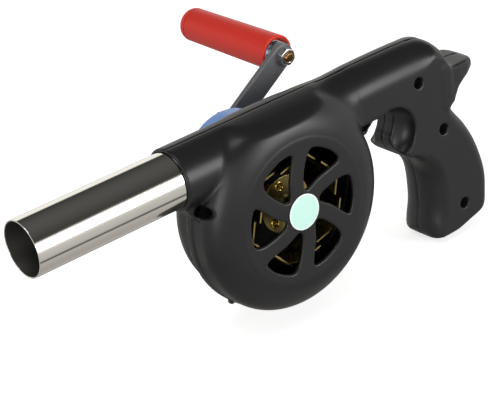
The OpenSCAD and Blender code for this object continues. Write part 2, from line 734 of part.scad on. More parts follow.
module crank_shaft() {
    collar_w = gear_m;
    color("#a9adb1") difference() {
        union() {
            rod(crank_x, crank_z, plate_y, arm_y0, crank_r);
            rod(crank_x, crank_z, drive_y0 - collar_w, drive_y0, crank_r + flange_w);
            translate([crank_x, arm_y0 - over, crank_z]) rotate([0, -crank_angle, 0])
                translate([-tenon / 2, 0, -tenon / 2]) cube([tenon, arm_t + over - play, tenon]);
        }
        rod(crank_x, crank_z, arm_y1 - arm_screw_l, arm_y1 + over, arm_screw_r + pilot_gap);
        difference() {
            rod(crank_x, crank_z, drive_y1 + play, drive_y1 + play + clip_t, crank_r + over);
            rod(crank_x, crank_z, drive_y1, drive_y1 + clip_t + over, crank_r - groove);
        }
    }
}
module drive_gear() {
    web_in = crank_r + 1.6 * tenon;
    web_out = drive_pitch - 3 * gear_m;
    color("#e9e4d6") difference() {
        gear(crank_x, crank_z, drive_y0, drive_y1, drive_z, line_a);
        rod(crank_x, crank_z, drive_y0 - over, drive_y1 + over, crank_r + play / 2);
        for (a = [0:60:300]) let (r = (web_in + web_out) / 2)
            rod(crank_x + r * cos(a), crank_z + r * sin(a), drive_y0 - over, drive_y1 + over, (web_out - web_in) / 2);
    }
}
module gear_clip() {
    color("#8d9196") clip(crank_x, crank_z, drive_y1 + play, crank_r - groove, crank_r + flange_w, -30);
}
module crank_arm() {
    root_r = arm_w * 0.62;
    color("#3f4144") difference() {
        slab(arm_y0, arm_y1) {
            translate([crank_x, crank_z]) circle(r = root_r);
            translate([handle_x, handle_z]) circle(r = arm_w / 2);
            translate([crank_x, crank_z]) rotate(crank_angle)
                translate([0, -arm_w / 2]) square([crank_throw, arm_w]);
        }
        translate([crank_x, arm_y0 - over, crank_z]) rotate([0, -crank_angle, 0])
            translate([-tenon / 2 - seat_gap, 0, -tenon / 2 - seat_gap])
                cube([tenon + 2 * seat_gap, arm_t + 2 * over, tenon + 2 * seat_gap]);
        rod(handle_x, handle_z, arm_y0 - over, arm_y1 + over, bolt_r + seat_gap);
    }
}
module arm_washer() {
    color("#b4b7ba") difference() {
        rod(crank_x, crank_z, arm_y1, arm_y1 + washer_t, washer_r);
        rod(crank_x, crank_z, arm_y1 - over, arm_y1 + washer_t + over, arm_screw_r + pilot_gap);
    }
}
module arm_screw() {
    seat = arm_y1 + washer_t;
    translate([0, 2 * seat, 0]) mirror([0, 1, 0])
        screw(crank_x, crank_z, seat, seat + arm_screw_l, arm_screw_r, arm_head_r, arm_head_t);
}
handle_play = 0.2;
bolt_head_y = handle_y1 - cap_l - pocket_l + handle_play;
module handle_bolt() {
    color("#c8b98a") union() {
        rod(handle_x, handle_z, arm_y0 - nut_t - bolt_tip, collar_y1, bolt_r);
        rod(handle_x, handle_z, collar_y1, bolt_head_y, spindle_r);
        rod(handle_x, handle_z, bolt_head_y, bolt_head_y + bolt_head_t, bolt_head_r);
    }
}
module handle_collar() {
    color("#8f959b") difference() {
        turned(handle_x, handle_z) polygon([
            [0, arm_y1], [collar_r - washer_t / 3, arm_y1], [collar_r, arm_y1 + washer_t / 3],
            [collar_r, collar_y1 - washer_t / 3], [collar_r - washer_t / 3, collar_y1], [0, collar_y1]
        ]);
        rod(handle_x, handle_z, arm_y1 - over, collar_y1 + over, bolt_r + seat_gap);
    }
}
module handle_nut() {
    color("#d5d6d4") translate([handle_x, 0, handle_z]) rotate([0, -crank_angle, 0]) difference() {
        intersection() {
            translate([0, arm_y0 - nut_t, 0]) rotate([-90, 0, 0]) cylinder(h = nut_t, r = nut_w / sqrt(3), $fn = 6);
            turned(0, 0) polygon([
                [0, arm_y0], [nut_w, arm_y0], [nut_w, arm_y0 - nut_t * 0.7],
                [nut_w / 2, arm_y0 - nut_t], [0, arm_y0 - nut_t]
            ]);
        }
        rod(0, 0, arm_y0 - nut_t - over, arm_y0 + over, bolt_r + play / 2);
    }
}
function handle_r_at(y) = handle_r * (1 - (1 - handle_far_share) * (y - handle_y0) / handle_l);
module handle_grip() {
    end = handle_y1 - cap_l;
    lip = handle_r / 8;
    color("#c8352d") turned(handle_x, handle_z) polygon([
        [handle_recess_r, handle_y0 + lip / 3], [handle_recess_r + lip / 3, handle_y0], [handle_r - lip, handle_y0],
        [handle_r - lip / 3, handle_y0 + lip / 3], [handle_r, handle_y0 + lip],
        [handle_r_at(end), end], [pocket_r, end], [pocket_r, end - pocket_l],
        [spindle_r + play, end - pocket_l], [spindle_r + play, collar_y1 + free_gap],
        [handle_recess_r, collar_y1 + free_gap]
    ]);
}
module handle_cap() {
    end = handle_y1 - cap_l;
    r = handle_r_at(end);
    dome = cap_l * 0.8;
    color("#c8352d") turned(handle_x, handle_z) polygon(concat(
        [[0, end - cap_plug], [pocket_r - seat_gap, end - cap_plug], [pocket_r - seat_gap, end], [r, end],
         [r, handle_y1 - dome]],
        [for (k = [1:6]) let (f = 90 * k / 7) [r - dome + dome * cos(f), handle_y1 - dome + dome * sin(f)]],
        [[r - dome, handle_y1], [0, handle_y1]]
    ));
}

module idler_gear() {
    neck = (drive_y0 - large_y0 - idler_w) / 2;
    color("#efeadf") difference() {
        union() {
            gear(idler_x, idler_z, large_y0, large_y0 + idler_w, large_z, line_b);
            gear(idler_x, idler_z, large_y0 + idler_w - play, drive_y1, small_z, line_a + 180 + 180 / small_z);
            rod(idler_x, idler_z, plate_back + free_gap, large_y0 + over / 2, pin_r + flange_w);
            rod(idler_x, idler_z, large_y0 + idler_w / 2, large_y0 + idler_w + neck, small_pitch - gear_m * dedendum_share);
        }
        rod(idler_x, idler_z, plate_back, drive_y1 + over, pin_r + play);
    }
}

module blade_arm() {
    translate([disc_r - sheet_t, wheel_y - sheet_t, -arm_half])
        cube([impeller_r - disc_r + sheet_t, sheet_t, 2 * arm_half]);
    translate([disc_r, blade_front, arm_half - sheet_t])
        cube([impeller_r - disc_r, wheel_y - blade_front, sheet_t]);
    translate([disc_r, wheel_y - sheet_t, -arm_half])
        cube([impeller_r - disc_r, blade_back - wheel_y + sheet_t, sheet_t]);
}
module impeller_wheel() {
    color("#caa23c") translate([fan_x, 0, fan_z]) difference() {
        union() {
            rod(0, 0, wheel_y - sheet_t, wheel_y, disc_r);
            for (k = [0:blade_count - 1]) rotate([0, -arm_turn - k * 360 / blade_count, 0]) blade_arm();
        }
        rod(0, 0, wheel_y - 2 * sheet_t, wheel_y + sheet_t, fan_hub_r + play);
        for (k = [0:2]) rotate([0, -arm_turn - 60 - k * 120, 0])
            rod(rivet_ring, 0, wheel_y - 2 * sheet_t, wheel_y + sheet_t, rivet_r + play / 2);
    }
}
module impeller_hub() {
    color("#b8bbbe") translate([fan_x, 0, fan_z]) difference() {
        union() {
            rod(0, 0, fan_hub_front, fan_hub_back, fan_hub_r);
            rod(0, 0, wheel_y, wheel_y + fan_flange_t, disc_r);
        }
        rod(0, 0, fan_hub_front - over, fan_hub_back + over, fan_shaft_r + play / 2);
        for (k = [0:2]) rotate([0, -arm_turn - 60 - k * 120, 0])
            rod(rivet_ring, 0, wheel_y - over, wheel_y + fan_flange_t + over, rivet_r + play / 2);
    }
}
module impeller_rivets() {
    color("#d8b552") translate([fan_x, 0, fan_z]) for (k = [0:2]) rotate([0, -arm_turn - 60 - k * 120, 0])
        difference() {
            front = wheel_y - sheet_t;
            back = wheel_y + fan_flange_t;
            turned(rivet_ring, 0) polygon([
                [rivet_hole_r, front - rivet_head_t], [rivet_head_r - rivet_head_t / 2, front - rivet_head_t],
                [rivet_head_r, front - rivet_head_t / 2], [rivet_head_r, front], [rivet_r, front], [rivet_r, back],
                [rivet_head_r, back], [rivet_head_r, back + rivet_head_t / 2],
                [rivet_head_r - rivet_head_t / 2, back + rivet_head_t], [rivet_hole_r, back + rivet_head_t]
            ]);
        }
}
module impeller_clip() {
    color("#8d9196") clip(fan_x, fan_z, fan_hub_front - clip_t, fan_shaft_r - groove, fan_shaft_r + 1.5 * flange_w, 70);
}
module impeller_shaft() {
    color("#b3b6b9") difference() {
        rod(fan_x, fan_z, -face_in + free_gap, shaft_end, fan_shaft_r);
        difference() {
            rod(fan_x, fan_z, fan_hub_front - clip_t, fan_hub_front, fan_shaft_r + over);
            rod(fan_x, fan_z, fan_hub_front - over, fan_hub_front + over, fan_shaft_r - groove);
        }
    }
}
module impeller_pinion() {
    color("#c79a46") difference() {
        gear(fan_x, fan_z, pinion_y0, pinion_y0 + pinion_w, pinion_z, line_b + 180 + 180 / pinion_z);
        rod(fan_x, fan_z, pinion_y0 - over, pinion_y0 + pinion_w + over, fan_shaft_r + play / 4);
    }
}

left_shell();
right_shell();
nozzle_tube();
hub_badge();
gear_cover();
bearing_plate();
shaft_bushes();
crank_bushes();
idler_pin();
idler_clip();
case_screws();
plate_screws();
cover_screws();
crank_shaft();
drive_gear();
gear_clip();
crank_arm();
arm_washer();
arm_screw();
handle_bolt();
handle_collar();
handle_nut();
handle_grip();
handle_cap();
idler_gear();
impeller_wheel();
impeller_hub();
impeller_rivets();
impeller_clip();
impeller_shaft();
impeller_pinion();
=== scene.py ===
"""Hand crank fan: smooth mouldings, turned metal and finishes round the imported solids."""

import json
import math

import bpy
import numpy as np
from mathutils import Matrix, Vector


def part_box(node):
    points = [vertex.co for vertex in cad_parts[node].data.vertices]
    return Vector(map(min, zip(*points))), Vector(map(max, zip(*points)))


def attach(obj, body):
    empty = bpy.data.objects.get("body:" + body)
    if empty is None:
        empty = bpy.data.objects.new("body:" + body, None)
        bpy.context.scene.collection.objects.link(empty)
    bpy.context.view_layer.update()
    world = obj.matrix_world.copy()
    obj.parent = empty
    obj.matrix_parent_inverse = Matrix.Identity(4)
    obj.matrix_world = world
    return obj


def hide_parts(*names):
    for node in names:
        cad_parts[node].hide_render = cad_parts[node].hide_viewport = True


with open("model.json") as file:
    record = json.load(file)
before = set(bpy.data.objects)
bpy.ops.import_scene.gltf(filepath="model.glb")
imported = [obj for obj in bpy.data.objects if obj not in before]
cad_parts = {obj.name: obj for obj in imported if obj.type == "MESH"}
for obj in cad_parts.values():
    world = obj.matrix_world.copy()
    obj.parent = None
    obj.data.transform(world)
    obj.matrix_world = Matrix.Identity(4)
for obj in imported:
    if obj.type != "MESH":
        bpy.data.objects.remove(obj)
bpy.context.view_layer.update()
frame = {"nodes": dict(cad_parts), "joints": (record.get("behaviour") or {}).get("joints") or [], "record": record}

bl_info = {
    "name": "Hand Crank Fan",
    "version": (1, 0, 0),
    "blender": (4, 5, 0),
    "location": "View3D > Sidebar > Crank Fan",
    "description": "Builds the visible pieces and finishes of a hand crank fan",
    "category": "Object",
}

MM = 0.001
# Radius in mm below which a turned profile is on its axis
ON_AXIS = 1e-6
JOINTS = {joint["name"]: joint["pos_m"] for joint in frame["joints"]}


def axis_of(joint):
    """The x and z of a joint's axis in millimetres; every axis runs along y."""
    return JOINTS[joint][0] / MM, JOINTS[joint][2] / MM


FAN = axis_of("impeller_spin")
CRANK = axis_of("crank_spin")
HANDLE = axis_of("handle_spin")


def linear(code):
    """Linear RGBA of an sRGB hex colour."""
    parts = [int(code[i:i + 2], 16) / 255 for i in (1, 3, 5)]
    return [p / 12.92 if p <= 0.04045 else ((p + 0.055) / 1.055) ** 2.4 for p in parts] + [1.0]


def around(centre, radius, angles):
    """Places on a circle about an axis along y, by angles in degrees."""
    return [(centre[0] + radius * math.cos(a), centre[1] + radius * math.sin(a))
            for a in map(math.radians, angles)]


# ---- Sizes and colours that a user may change ----

def length(name, text, default, low=0.0, high=1.0):
    return bpy.props.FloatProperty(name=name, description=text, default=default * MM, min=low, max=high,
                                   unit="LENGTH", precision=4)


def tint(name, text, code):
    return bpy.props.FloatVectorProperty(name=name, description=text, default=linear(code), size=4,
                                         min=0.0, max=1.0, subtype="COLOR")


class HousingSizes(bpy.types.PropertyGroup):
    drum_radius: length("Drum radius", "Outer radius of the vented half", 52.7)
    drum_depth: length("Drum depth", "From the joint to the vented face", 22.2)
    case_radius: length("Case radius", "Outer radius of the crank half", 50.0)
    case_depth: length("Case depth", "From the joint to the crank side's face", 22.0)
    barrel_radius: length("Barrel radius", "Radius of the round barrel", 15.5)
    barrel_front: length("Barrel front", "From the nozzle mouth to the barrel's end", 81.5)
    grip_half: length("Half grip width", "From the joint to the grip's flat side", 14.2)
    wall: length("Wall", "Thickness of the mouldings", 2.2)
    fillet: length("Fillet", "Blend where the drum meets the barrel", 8.0)
    joint_round: length("Joint rounding", "Rounding along the edge where the halves meet", 0.45)
    mesh_step: length("Mesh step", "Spacing of the grid that the mouldings are meshed on", 0.8)


class MetalSizes(bpy.types.PropertyGroup):
    tube_radius: length("Tube radius", "Outside radius of the nozzle tube", 14.0)
    tube_wall: length("Tube wall", "Wall of the nozzle tube", 0.7)
    tube_end: length("Tube end", "Length of the tube, its seat included", 101.5)
    arm_width: length("Arm width", "Width of the crank arm", 12.2)
    nut_width: length("Nut width", "Across the flats of the handle nut", 8.0)
    sheet: length("Sheet", "Thickness of the impeller's sheet", 0.8)
    impeller_radius: length("Impeller radius", "Radius over the blades", 36.5)
    bend_radius: length("Bend radius", "Radius of the folds in the impeller's sheet", 1.2)


class HandleSizes(bpy.types.PropertyGroup):
    near_radius: length("Near radius", "Radius beside the arm", 9.3)
    far_radius: length("Far radius", "Radius at the far end", 8.8)
    end_round: length("End rounding", "Rounding of the far end", 4.8)


class Finishes(bpy.types.PropertyGroup):
    housing: tint("Housing", "Moulded ABS of the two halves", "#1d1d1e")
    steel: tint("Steel", "Polished stainless tube", "#efece5")
    mint: tint("Hub disc", "Disc over the hub", "#c9f2e6")
    cover: tint("Gear cover", "Moulded cover over the drive gear", "#86aae8")
    arm: tint("Arm", "Coated crank arm", "#6a6b6d")
    handle: tint("Handle", "Moulded handle", "#de3529")
    gold: tint("Impeller", "Anodised impeller sheet", "#a3935c")


class StageSizes(bpy.types.PropertyGroup):
    distance: length("Distance", "From the camera to the vented face", 900.0, high=5.0)
    lens: bpy.props.FloatProperty(name="Lens", description="Focal length on a 36 mm sensor", default=138.1,
                                  unit="CAMERA")
    floor_drop: length("Floor", "Depth of the floor under the barrel's axis", 97.0)
    wall_light: bpy.props.FloatProperty(name="Wall light", description="Brightness of the studio's walls",
                                        default=1.0, min=0.0)
    room_light: bpy.props.FloatProperty(name="Room light", description="Even light from all sides",
                                        default=0.4, min=0.0)


# ---- Meshing of moulded forms from a distance field ----

def smooth_loop(points, steps):
    """Closed curve through chosen points, with the other columns blended alike."""
    p = np.array(points, float)
    before, after, beyond = np.roll(p, 1, 0), np.roll(p, -1, 0), np.roll(p, -2, 0)
    out = []
    for t in np.arange(steps) / steps:
        out.append(0.5 * (2 * p + (after - before) * t + (2 * before - 5 * p + 4 * after - beyond) * t ** 2
                          + (3 * p - before - 3 * after + beyond) * t ** 3))
    return np.stack(out, 1).reshape(-1, p.shape[1])


def outline_table(line, margin=6.0, step=0.5):
    """Signed distance to a closed outline on a grid, then its other columns at the nearest point."""
    low, high = line[:, :2].min(0) - margin, line[:, :2].max(0) + margin
    px, pz = np.meshgrid(np.arange(low[0], high[0], step), np.arange(low[1], high[1], step), indexing="ij")
    best = np.full(px.shape, np.inf)
    extra = np.zeros(px.shape + (line.shape[1] - 2,))
    inside = np.zeros(px.shape, bool)
    for a, b in zip(line, np.roll(line, -1, 0)):
        d = b[:2] - a[:2]
        t = np.clip(((px - a[0]) * d[0] + (pz - a[1]) * d[1]) / max(d @ d, 1e-9), 0, 1)
        gap = np.hypot(px - a[0] - t * d[0], pz - a[1] - t * d[1])
        near = gap < best
        best = np.where(near, gap, best)
        extra = np.where(near[..., None], a[2:] + t[..., None] * (b[2:] - a[2:]), extra)
        if d[1]:
            inside ^= ((a[1] > pz) != (b[1] > pz)) & (px < a[0] + (pz - a[1]) * d[0] / d[1])
    signed = np.where(inside, -best, best)
    return low, step, np.concatenate([signed[..., None], extra], -1)


def look_up(table, x, z):
    """Values of a table between its grid points; far outside it only the distance grows."""
    low, step, values = table
    top = np.array(values.shape[:2]) - 1.001
    u, v = (x - low[0]) / step, (z - low[1]) / step
    cu, cv = np.clip(u, 0, top[0]), np.clip(v, 0, top[1])
    beyond = np.hypot(u - cu, v - cv) * step
    i, j = cu.astype(int), cv.astype(int)
    fu, fv = (cu - i)[..., None], (cv - j)[..., None]
    found = ((values[i, j] * (1 - fu) + values[i + 1, j] * fu) * (1 - fv)
             + (values[i, j + 1] * (1 - fu) + values[i + 1, j + 1] * fu) * fv)
    columns = [found[..., k] for k in range(values.shape[2])]
    columns[0] = columns[0] + beyond
    return columns


def join(a, b, k):
    """Union of two fields with a fillet of about k."""
    h = np.maximum(k - np.abs(a - b), 0) / k
    return np.minimum(a, b) - h * h * k / 4


def cut(a, b, k):
    """Field a without the inside of b, with the edge between them rounded by about k."""
    return -join(-a, b, k)


def both(a, b, k):
    """Overlap of two fields with the edge between them rounded by about k."""
    return -join(-a, -b, k)


def edged(across, deep, round_in, round_deep):
    """A slab whose outer edge is a quarter ellipse."""
    px, py = np.maximum(across + round_in, 0), np.maximum(deep + round_deep, 0)
    k0 = np.hypot(px / round_in, py / round_deep)
    k1 = np.hypot(px / round_in ** 2, py / round_deep ** 2)
    return np.where(k1 > 0, k0 * (k0 - 1) / np.maximum(k1, 1e-9), np.maximum(across, deep))


def surface_net(field, low, high, step):
    """Quads on the zero level of a field: one point per grid cell that the surface crosses."""
    axes = [np.arange(low[i], high[i] + step, step) for i in range(3)]
    values = field(axes[0][:, None, None], axes[1][None, :, None], axes[2][None, None, :])
    f = np.broadcast_to(values, tuple(len(a) for a in axes)).astype(np.float64)
    neg = f < 0
    cells = tuple(n - 1 for n in f.shape)
    total = np.zeros(cells + (3,), np.float32)
    count = np.zeros(cells, np.int8)

    def part(a, offset):
        return a[tuple(slice(o, o + n) for o, n in zip(offset, cells))]

    for axis in range(3):
        one, two = [k for k in range(3) if k != axis]
        for at_one, at_two in ((0, 0), (0, 1), (1, 0), (1, 1)):
            start = [0, 0, 0]
            start[one], start[two] = at_one, at_two
            stop = list(start)
            stop[axis] = 1
            f0, f1 = part(f, start), part(f, stop)
            crossed = part(neg, start) != part(neg, stop)
            count += crossed
            total[..., axis] += np.where(crossed, f0 / np.where(crossed, f0 - f1, 1), 0)
            total[..., one] += crossed * at_one
            total[..., two] += crossed * at_two
    active = count > 0
    where = np.argwhere(active)
    points = np.array(low) + (where + total[active] / count[active][:, None]) * step
    index = np.full(cells, -1)
    index[active] = np.arange(len(where))
    quads = []
    for axis in range(3):
        one, two = (axis + 1) % 3, (axis + 2) % 3
        window = [slice(1, -1)] * 3
        window[axis] = slice(0, -1)
        here = neg[tuple(window)]
        window[axis] = slice(1, None)
        at = np.argwhere(here != neg[tuple(window)])
        out = here[tuple(at.T)]
        at = at + [k != axis for k in range(3)]
        ring = []
        for back in ((1, 1), (0, 1), (0, 0), (1, 0)):
            shift = np.zeros(3, int)
            shift[one], shift[two] = back
            ring.append(index[tuple((at - shift).T)])
        quad = np.stack(ring, 1)
        quads.append(np.where(out[:, None], quad, quad[:, ::-1]))
    return points, np.concatenate(quads)


def settle(field, points, quads, step, rounds):
    """Evens out the points of a net and brings them onto the zero level."""
    edges = np.concatenate([quads[:, [k, (k + 1) % 4]] for k in range(4)])
    degree = np.bincount(edges.ravel(), minlength=len(points))[:, None]
    nudge = 0.04 * step
    for _ in range(rounds):
        sums = [np.bincount(edges[:, 0], points[edges[:, 1], k], len(points))
                + np.bincount(edges[:, 1], points[edges[:, 0], k], len(points)) for k in range(3)]
        points = points + 0.5 * (np.stack(sums, 1) / np.maximum(degree, 1) - points)
        for _ in range(2):
            slope = [field(*(points + e).T) - field(*(points - e).T) for e in np.eye(3) * nudge]
            slope = np.stack(slope, 1) / (2 * nudge)
            move = field(*points.T)[:, None] * slope / np.maximum((slope ** 2).sum(1), 0.2)[:, None]
            size = np.linalg.norm(move, axis=1)[:, None]
            points = points - move * np.minimum(1, 0.5 * step / np.maximum(size, 1e-9))
    return points


def formed(field, low, high, step, rounds=4):
    """Points and faces of the solid that a field in millimetres describes."""
    points, quads = surface_net(field, low, high, step)
    return settle(field, points, quads, step, rounds), quads.tolist()


# ---- Making pieces ----

def mesh_normals(mesh):
    """Each corner's normal becomes the area-weighted mean of the faces round its point; flats stay flat."""
    count = len(mesh.polygons)
    normals, area = np.zeros(count * 3), np.zeros(count)
    mesh.polygons.foreach_get("normal", normals)
    mesh.polygons.foreach_get("area", area)
    loops = np.zeros(len(mesh.loops), int)
    mesh.loops.foreach_get("vertex_index", loops)
    totals = np.zeros(count, int)
    mesh.polygons.foreach_get("loop_total", totals)
    weighted = np.repeat(normals.reshape(-1, 3) * area[:, None], totals, 0)
    out = np.stack([np.bincount(loops, weighted[:, k], len(mesh.vertices)) for k in range(3)], 1)
    out /= np.maximum(np.linalg.norm(out, axis=1), 1e-12)[:, None]
    mesh.normals_split_custom_set_from_vertices(out.tolist())


def claim(name, mesh, body, slot, *nodes):
    """The object of a finished mesh: it rides on a body and may stand for CAD nodes; its slot is not used."""
    obj = bpy.data.objects.new(name, mesh)
    bpy.context.scene.collection.objects.link(obj)
    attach(obj, body)
    if nodes:
        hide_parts(*nodes)
    return obj


def piece(name, shape, body, slot, *nodes, weighted=True):
    """A piece from its points in millimetres and its faces, with the finish of its slot."""
    points, faces = shape
    mesh = bpy.data.meshes.new(name)
    mesh.from_pydata((np.asarray(points) * MM).tolist(), [], faces)
    mesh.validate()
    mesh.polygons.foreach_set("use_smooth", [True] * len(mesh.polygons))
    mesh.materials.append(finishes()[slot])
    if weighted:
        mesh_normals(mesh)
    return claim(name, mesh, body, slot, *nodes)


def rounded(profile, radius, steps=4):
    """A profile with each corner that has room turned into an arc of about the radius."""
    p = [np.array(q, float) for q in profile]
    out = []
    for i, q in enumerate(p):
        a, b = p[i - 1], p[(i + 1) % len(p)]
        la, lb = np.linalg.norm(a - q), np.linalg.norm(b - q)
        r = min(radius, 0.45 * la, 0.45 * lb)
        if abs(q[0]) < ON_AXIS or r < 0.01:
            out.append(q)
            continue
        s, e = q + (a - q) / la * r, q + (b - q) / lb * r
        for t in np.arange(steps + 1) / steps:
            out.append((1 - t) ** 2 * s + 2 * t * (1 - t) * q + t * t * e)
    return out


def turned(profile, centre, segments=96, along="y"):
    """Points and faces of a lathed solid. The profile is a closed loop of radius and place on the axis."""
    angles = np.arange(segments) * 2 * math.pi / segments
    wide = [r > ON_AXIS for r, _ in profile]
    points, rows, faces = [], [], []
    for (r, t), ring in zip(profile, wide):
        rows.append(len(points))
        for a in angles if ring else [0.0]:
            if along == "y":
                points.append((centre[0] + r * math.cos(a), t, centre[1] + r * math.sin(a)))
            else:
                points.append((t, centre[0] + r * math.sin(a), centre[1] + r * math.cos(a)))
    for i in range(len(profile)):
        j = (i + 1) % len(profile)
        for k in range(segments):
            n = (k + 1) % segments
            if wide[i] and wide[j]:
                faces.append((rows[i] + k, rows[j] + k, rows[j] + n, rows[i] + n))
            elif wide[i]:
                faces.append((rows[i] + k, rows[j], rows[i] + n))
            elif wide[j]:
                faces.append((rows[i], rows[j] + k, rows[j] + n))
    profile = np.array(profile)
    turn = np.roll(profile, -1, 0) - profile
    if (profile[:, 0] * turn[:, 1] - profile[:, 1] * turn[:, 0]).sum() > 0:
        faces = [f[::-1] for f in faces]
    return points, faces


# ---- Materials ----

def feed(tree, node, sockets):
    """Gives each socket a value, a link from another socket or a list of such links."""
    for key, value in sockets.items():
        sources = value if isinstance(value, list) else [value]
        if isinstance(sources[0], bpy.types.NodeSocket):
            for source in sources:
                tree.links.new(source, node.inputs[key])
        else:
            node.inputs[key].default_value = value


def add(tree, kind, sockets=None, **settings):
    """Adds a node with its settings and sockets."""
    node = tree.nodes.new(kind)
    for key, value in settings.items():
        setattr(node, key, value)
    feed(tree, node, sockets or {})
    return node


def blank(name):
    """A material with only a Principled shader, and its tree."""
    material = bpy.data.materials.new(name)
    material.use_nodes = True
    tree = material.node_tree
    tree.nodes.clear()
    shader = add(tree, "ShaderNodeBsdfPrincipled")
    add(tree, "ShaderNodeOutputMaterial", {"Surface": shader.outputs["BSDF"]})
    return material, tree, shader


def ramp(tree, factor, stops):
    """A colour ramp with these stops of place and colour, first to last."""
    node = add(tree, "ShaderNodeValToRGB", {"Fac": factor})
    elements = node.color_ramp.elements
    for element, (place, colour) in zip(list(elements), (stops[0], stops[-1])):
        element.position, element.color = place, colour
    for place, colour in stops[1:-1]:
        elements.new(place).color = colour
    return node.outputs["Color"]


def shade(colour, factor):
    return [min(1.0, c * factor) for c in colour[:3]] + [1.0]


def noise(tree, vector, size_mm, detail, rough=0.5):
    return add(tree, "ShaderNodeTexNoise", {"Vector": vector, "Scale": 1 / (size_mm * MM), "Detail": detail,
                                            "Roughness": rough}).outputs["Fac"]


def surface(name, colour, roughness, metallic, grain_mm=0.4, grain_height=0.012, stretch=(1, 1, 1),
            spread=0.12, drift_mm=25.0, gloss_spread=0.05, level=0.5, subsurface=0.0):
    """A finish with fine grain in its bump and gloss, and slow drift in its colour."""
    material, tree, shader = blank(name)
    place = add(tree, "ShaderNodeTexCoord").outputs["Object"]
    lined = add(tree, "ShaderNodeMapping", {"Vector": place, "Scale": stretch})
    grain = noise(tree, lined.outputs["Vector"], grain_mm, 3.0, 0.6)
    drift = noise(tree, place, drift_mm, 4.0, 0.55)
    mixed = add(tree, "ShaderNodeMix", {"Factor": drift}, data_type="RGBA")
    mixed.inputs["A"].default_value = shade(colour, 1 - spread)
    mixed.inputs["B"].default_value = shade(colour, 1 + spread)
    gloss = add(tree, "ShaderNodeMapRange", {"Value": grain, "To Min": roughness - gloss_spread,
                                             "To Max": roughness + gloss_spread})
    bump = add(tree, "ShaderNodeBump", {"Height": grain, "Distance": grain_height * MM, "Strength": 1.0})
    feed(tree, shader, {"Base Color": mixed.outputs["Result"], "Roughness": gloss.outputs["Result"],
                        "Normal": bump.outputs["Normal"], "Metallic": metallic, "Specular IOR Level": level,
                        "Subsurface Weight": subsurface})
    return material


# Each slot's finish: name, colour or the setting that has it, roughness, metallic, and what else
# differs from the defaults of surface()
FINISHES = {
    # Satin ABS from a finely sparked mould: dark, with broad soft highlights
    "housing_black": ("Satin moulded ABS", "housing", 0.34, 0.0,
                      dict(grain_mm=0.5, grain_height=0.010, spread=0.10, gloss_spread=0.04, level=0.36)),
    # Stainless tube polished along its length: near mirror with faint draw lines
    "tube_steel": ("Polished stainless steel", "steel", 0.10, 1.0,
                   dict(grain_mm=0.5, grain_height=0.002, stretch=(0.03, 1, 1), spread=0.03,
                        gloss_spread=0.03)),
    # The bore keeps the drawn skin: dull grey that scatters what light the mouth lets in
    "tube_bore": ("Drawn steel, unpolished", "#7d7b78", 0.48, 1.0,
                  dict(grain_mm=0.6, grain_height=0.010, stretch=(0.05, 1, 1), spread=0.08)),
    "cover_blue": ("Glossy moulded ABS, blue", "cover", 0.28, 0.0,
                   dict(grain_mm=0.6, grain_height=0.006, spread=0.06)),
    "arm_grey": ("Powder-coated steel", "arm", 0.42, 0.0,
                 dict(grain_mm=0.7, grain_height=0.05, spread=0.18, drift_mm=3.0, gloss_spread=0.10)),
    "handle_red": ("Satin moulded polypropylene, red", "handle", 0.38, 0.0,
                   dict(grain_mm=0.8, grain_height=0.012, spread=0.06, gloss_spread=0.06, level=0.3)),
    "impeller_gold": ("Gold anodised aluminium sheet", "gold", 0.36, 1.0,
                      dict(grain_mm=0.5, grain_height=0.006, stretch=(1, 1, 0.1), spread=0.15,
                           drift_mm=12.0)),
    "zinc_plate": ("Zinc-plated steel sheet", "#b4b6b9", 0.34, 1.0, dict(drift_mm=8.0)),
    "bronze": ("Sintered bronze", "#ad7f43", 0.45, 1.0, dict(grain_mm=0.25, grain_height=0.02)),
    "shaft_steel": ("Ground steel", "#b9bbbe", 0.20, 1.0,
                    dict(grain_mm=0.3, grain_height=0.003, stretch=(0.1, 1, 1))),
    "spring_steel": ("Blued spring steel", "#6f757d", 0.30, 1.0, dict(drift_mm=3.0)),
    "screw_black": ("Black oxide steel", "#26262a", 0.38, 1.0, dict(grain_mm=0.3)),
    "gear_white": ("Moulded acetal", "#e9e4d6", 0.40, 0.0, dict(spread=0.04, subsurface=0.05)),
    "pinion_brass": ("Cut brass", "#c9a14a", 0.24, 1.0, dict(grain_mm=0.3, stretch=(1, 0.1, 1))),
    "bolt_zinc": ("Yellow zinc-plated steel", "#b08a55", 0.28, 1.0, dict(drift_mm=3.0, spread=0.2)),
    "nut_chrome": ("Bright nickel-plated steel", "#e6e6e4", 0.24, 1.0, dict(grain_height=0.004)),
    "collar_steel": ("Turned steel", "#868b92", 0.26, 1.0, dict(grain_mm=0.3, stretch=(0.2, 4, 0.2))),
    "hub_alloy": ("Turned aluminium", "#b8babd", 0.28, 1.0, dict(stretch=(0.3, 3, 0.3))),
    "rivet_brass": ("Drawn eyelet brass", "#d6b65c", 0.18, 1.0, dict(grain_height=0.004)),
}
MADE = {}


def finishes():
    """Every finish of the object by its slot, made once."""
    if not MADE:
        chosen = bpy.context.scene.fan_finishes
        for slot, (name, colour, roughness, metallic, more) in FINISHES.items():
            colour = linear(colour) if colour.startswith("#") else getattr(chosen, colour)
            MADE[slot] = surface(name, colour, roughness, metallic, **more)
        MADE["badge"] = disc_finish(chosen.mint)
    return MADE


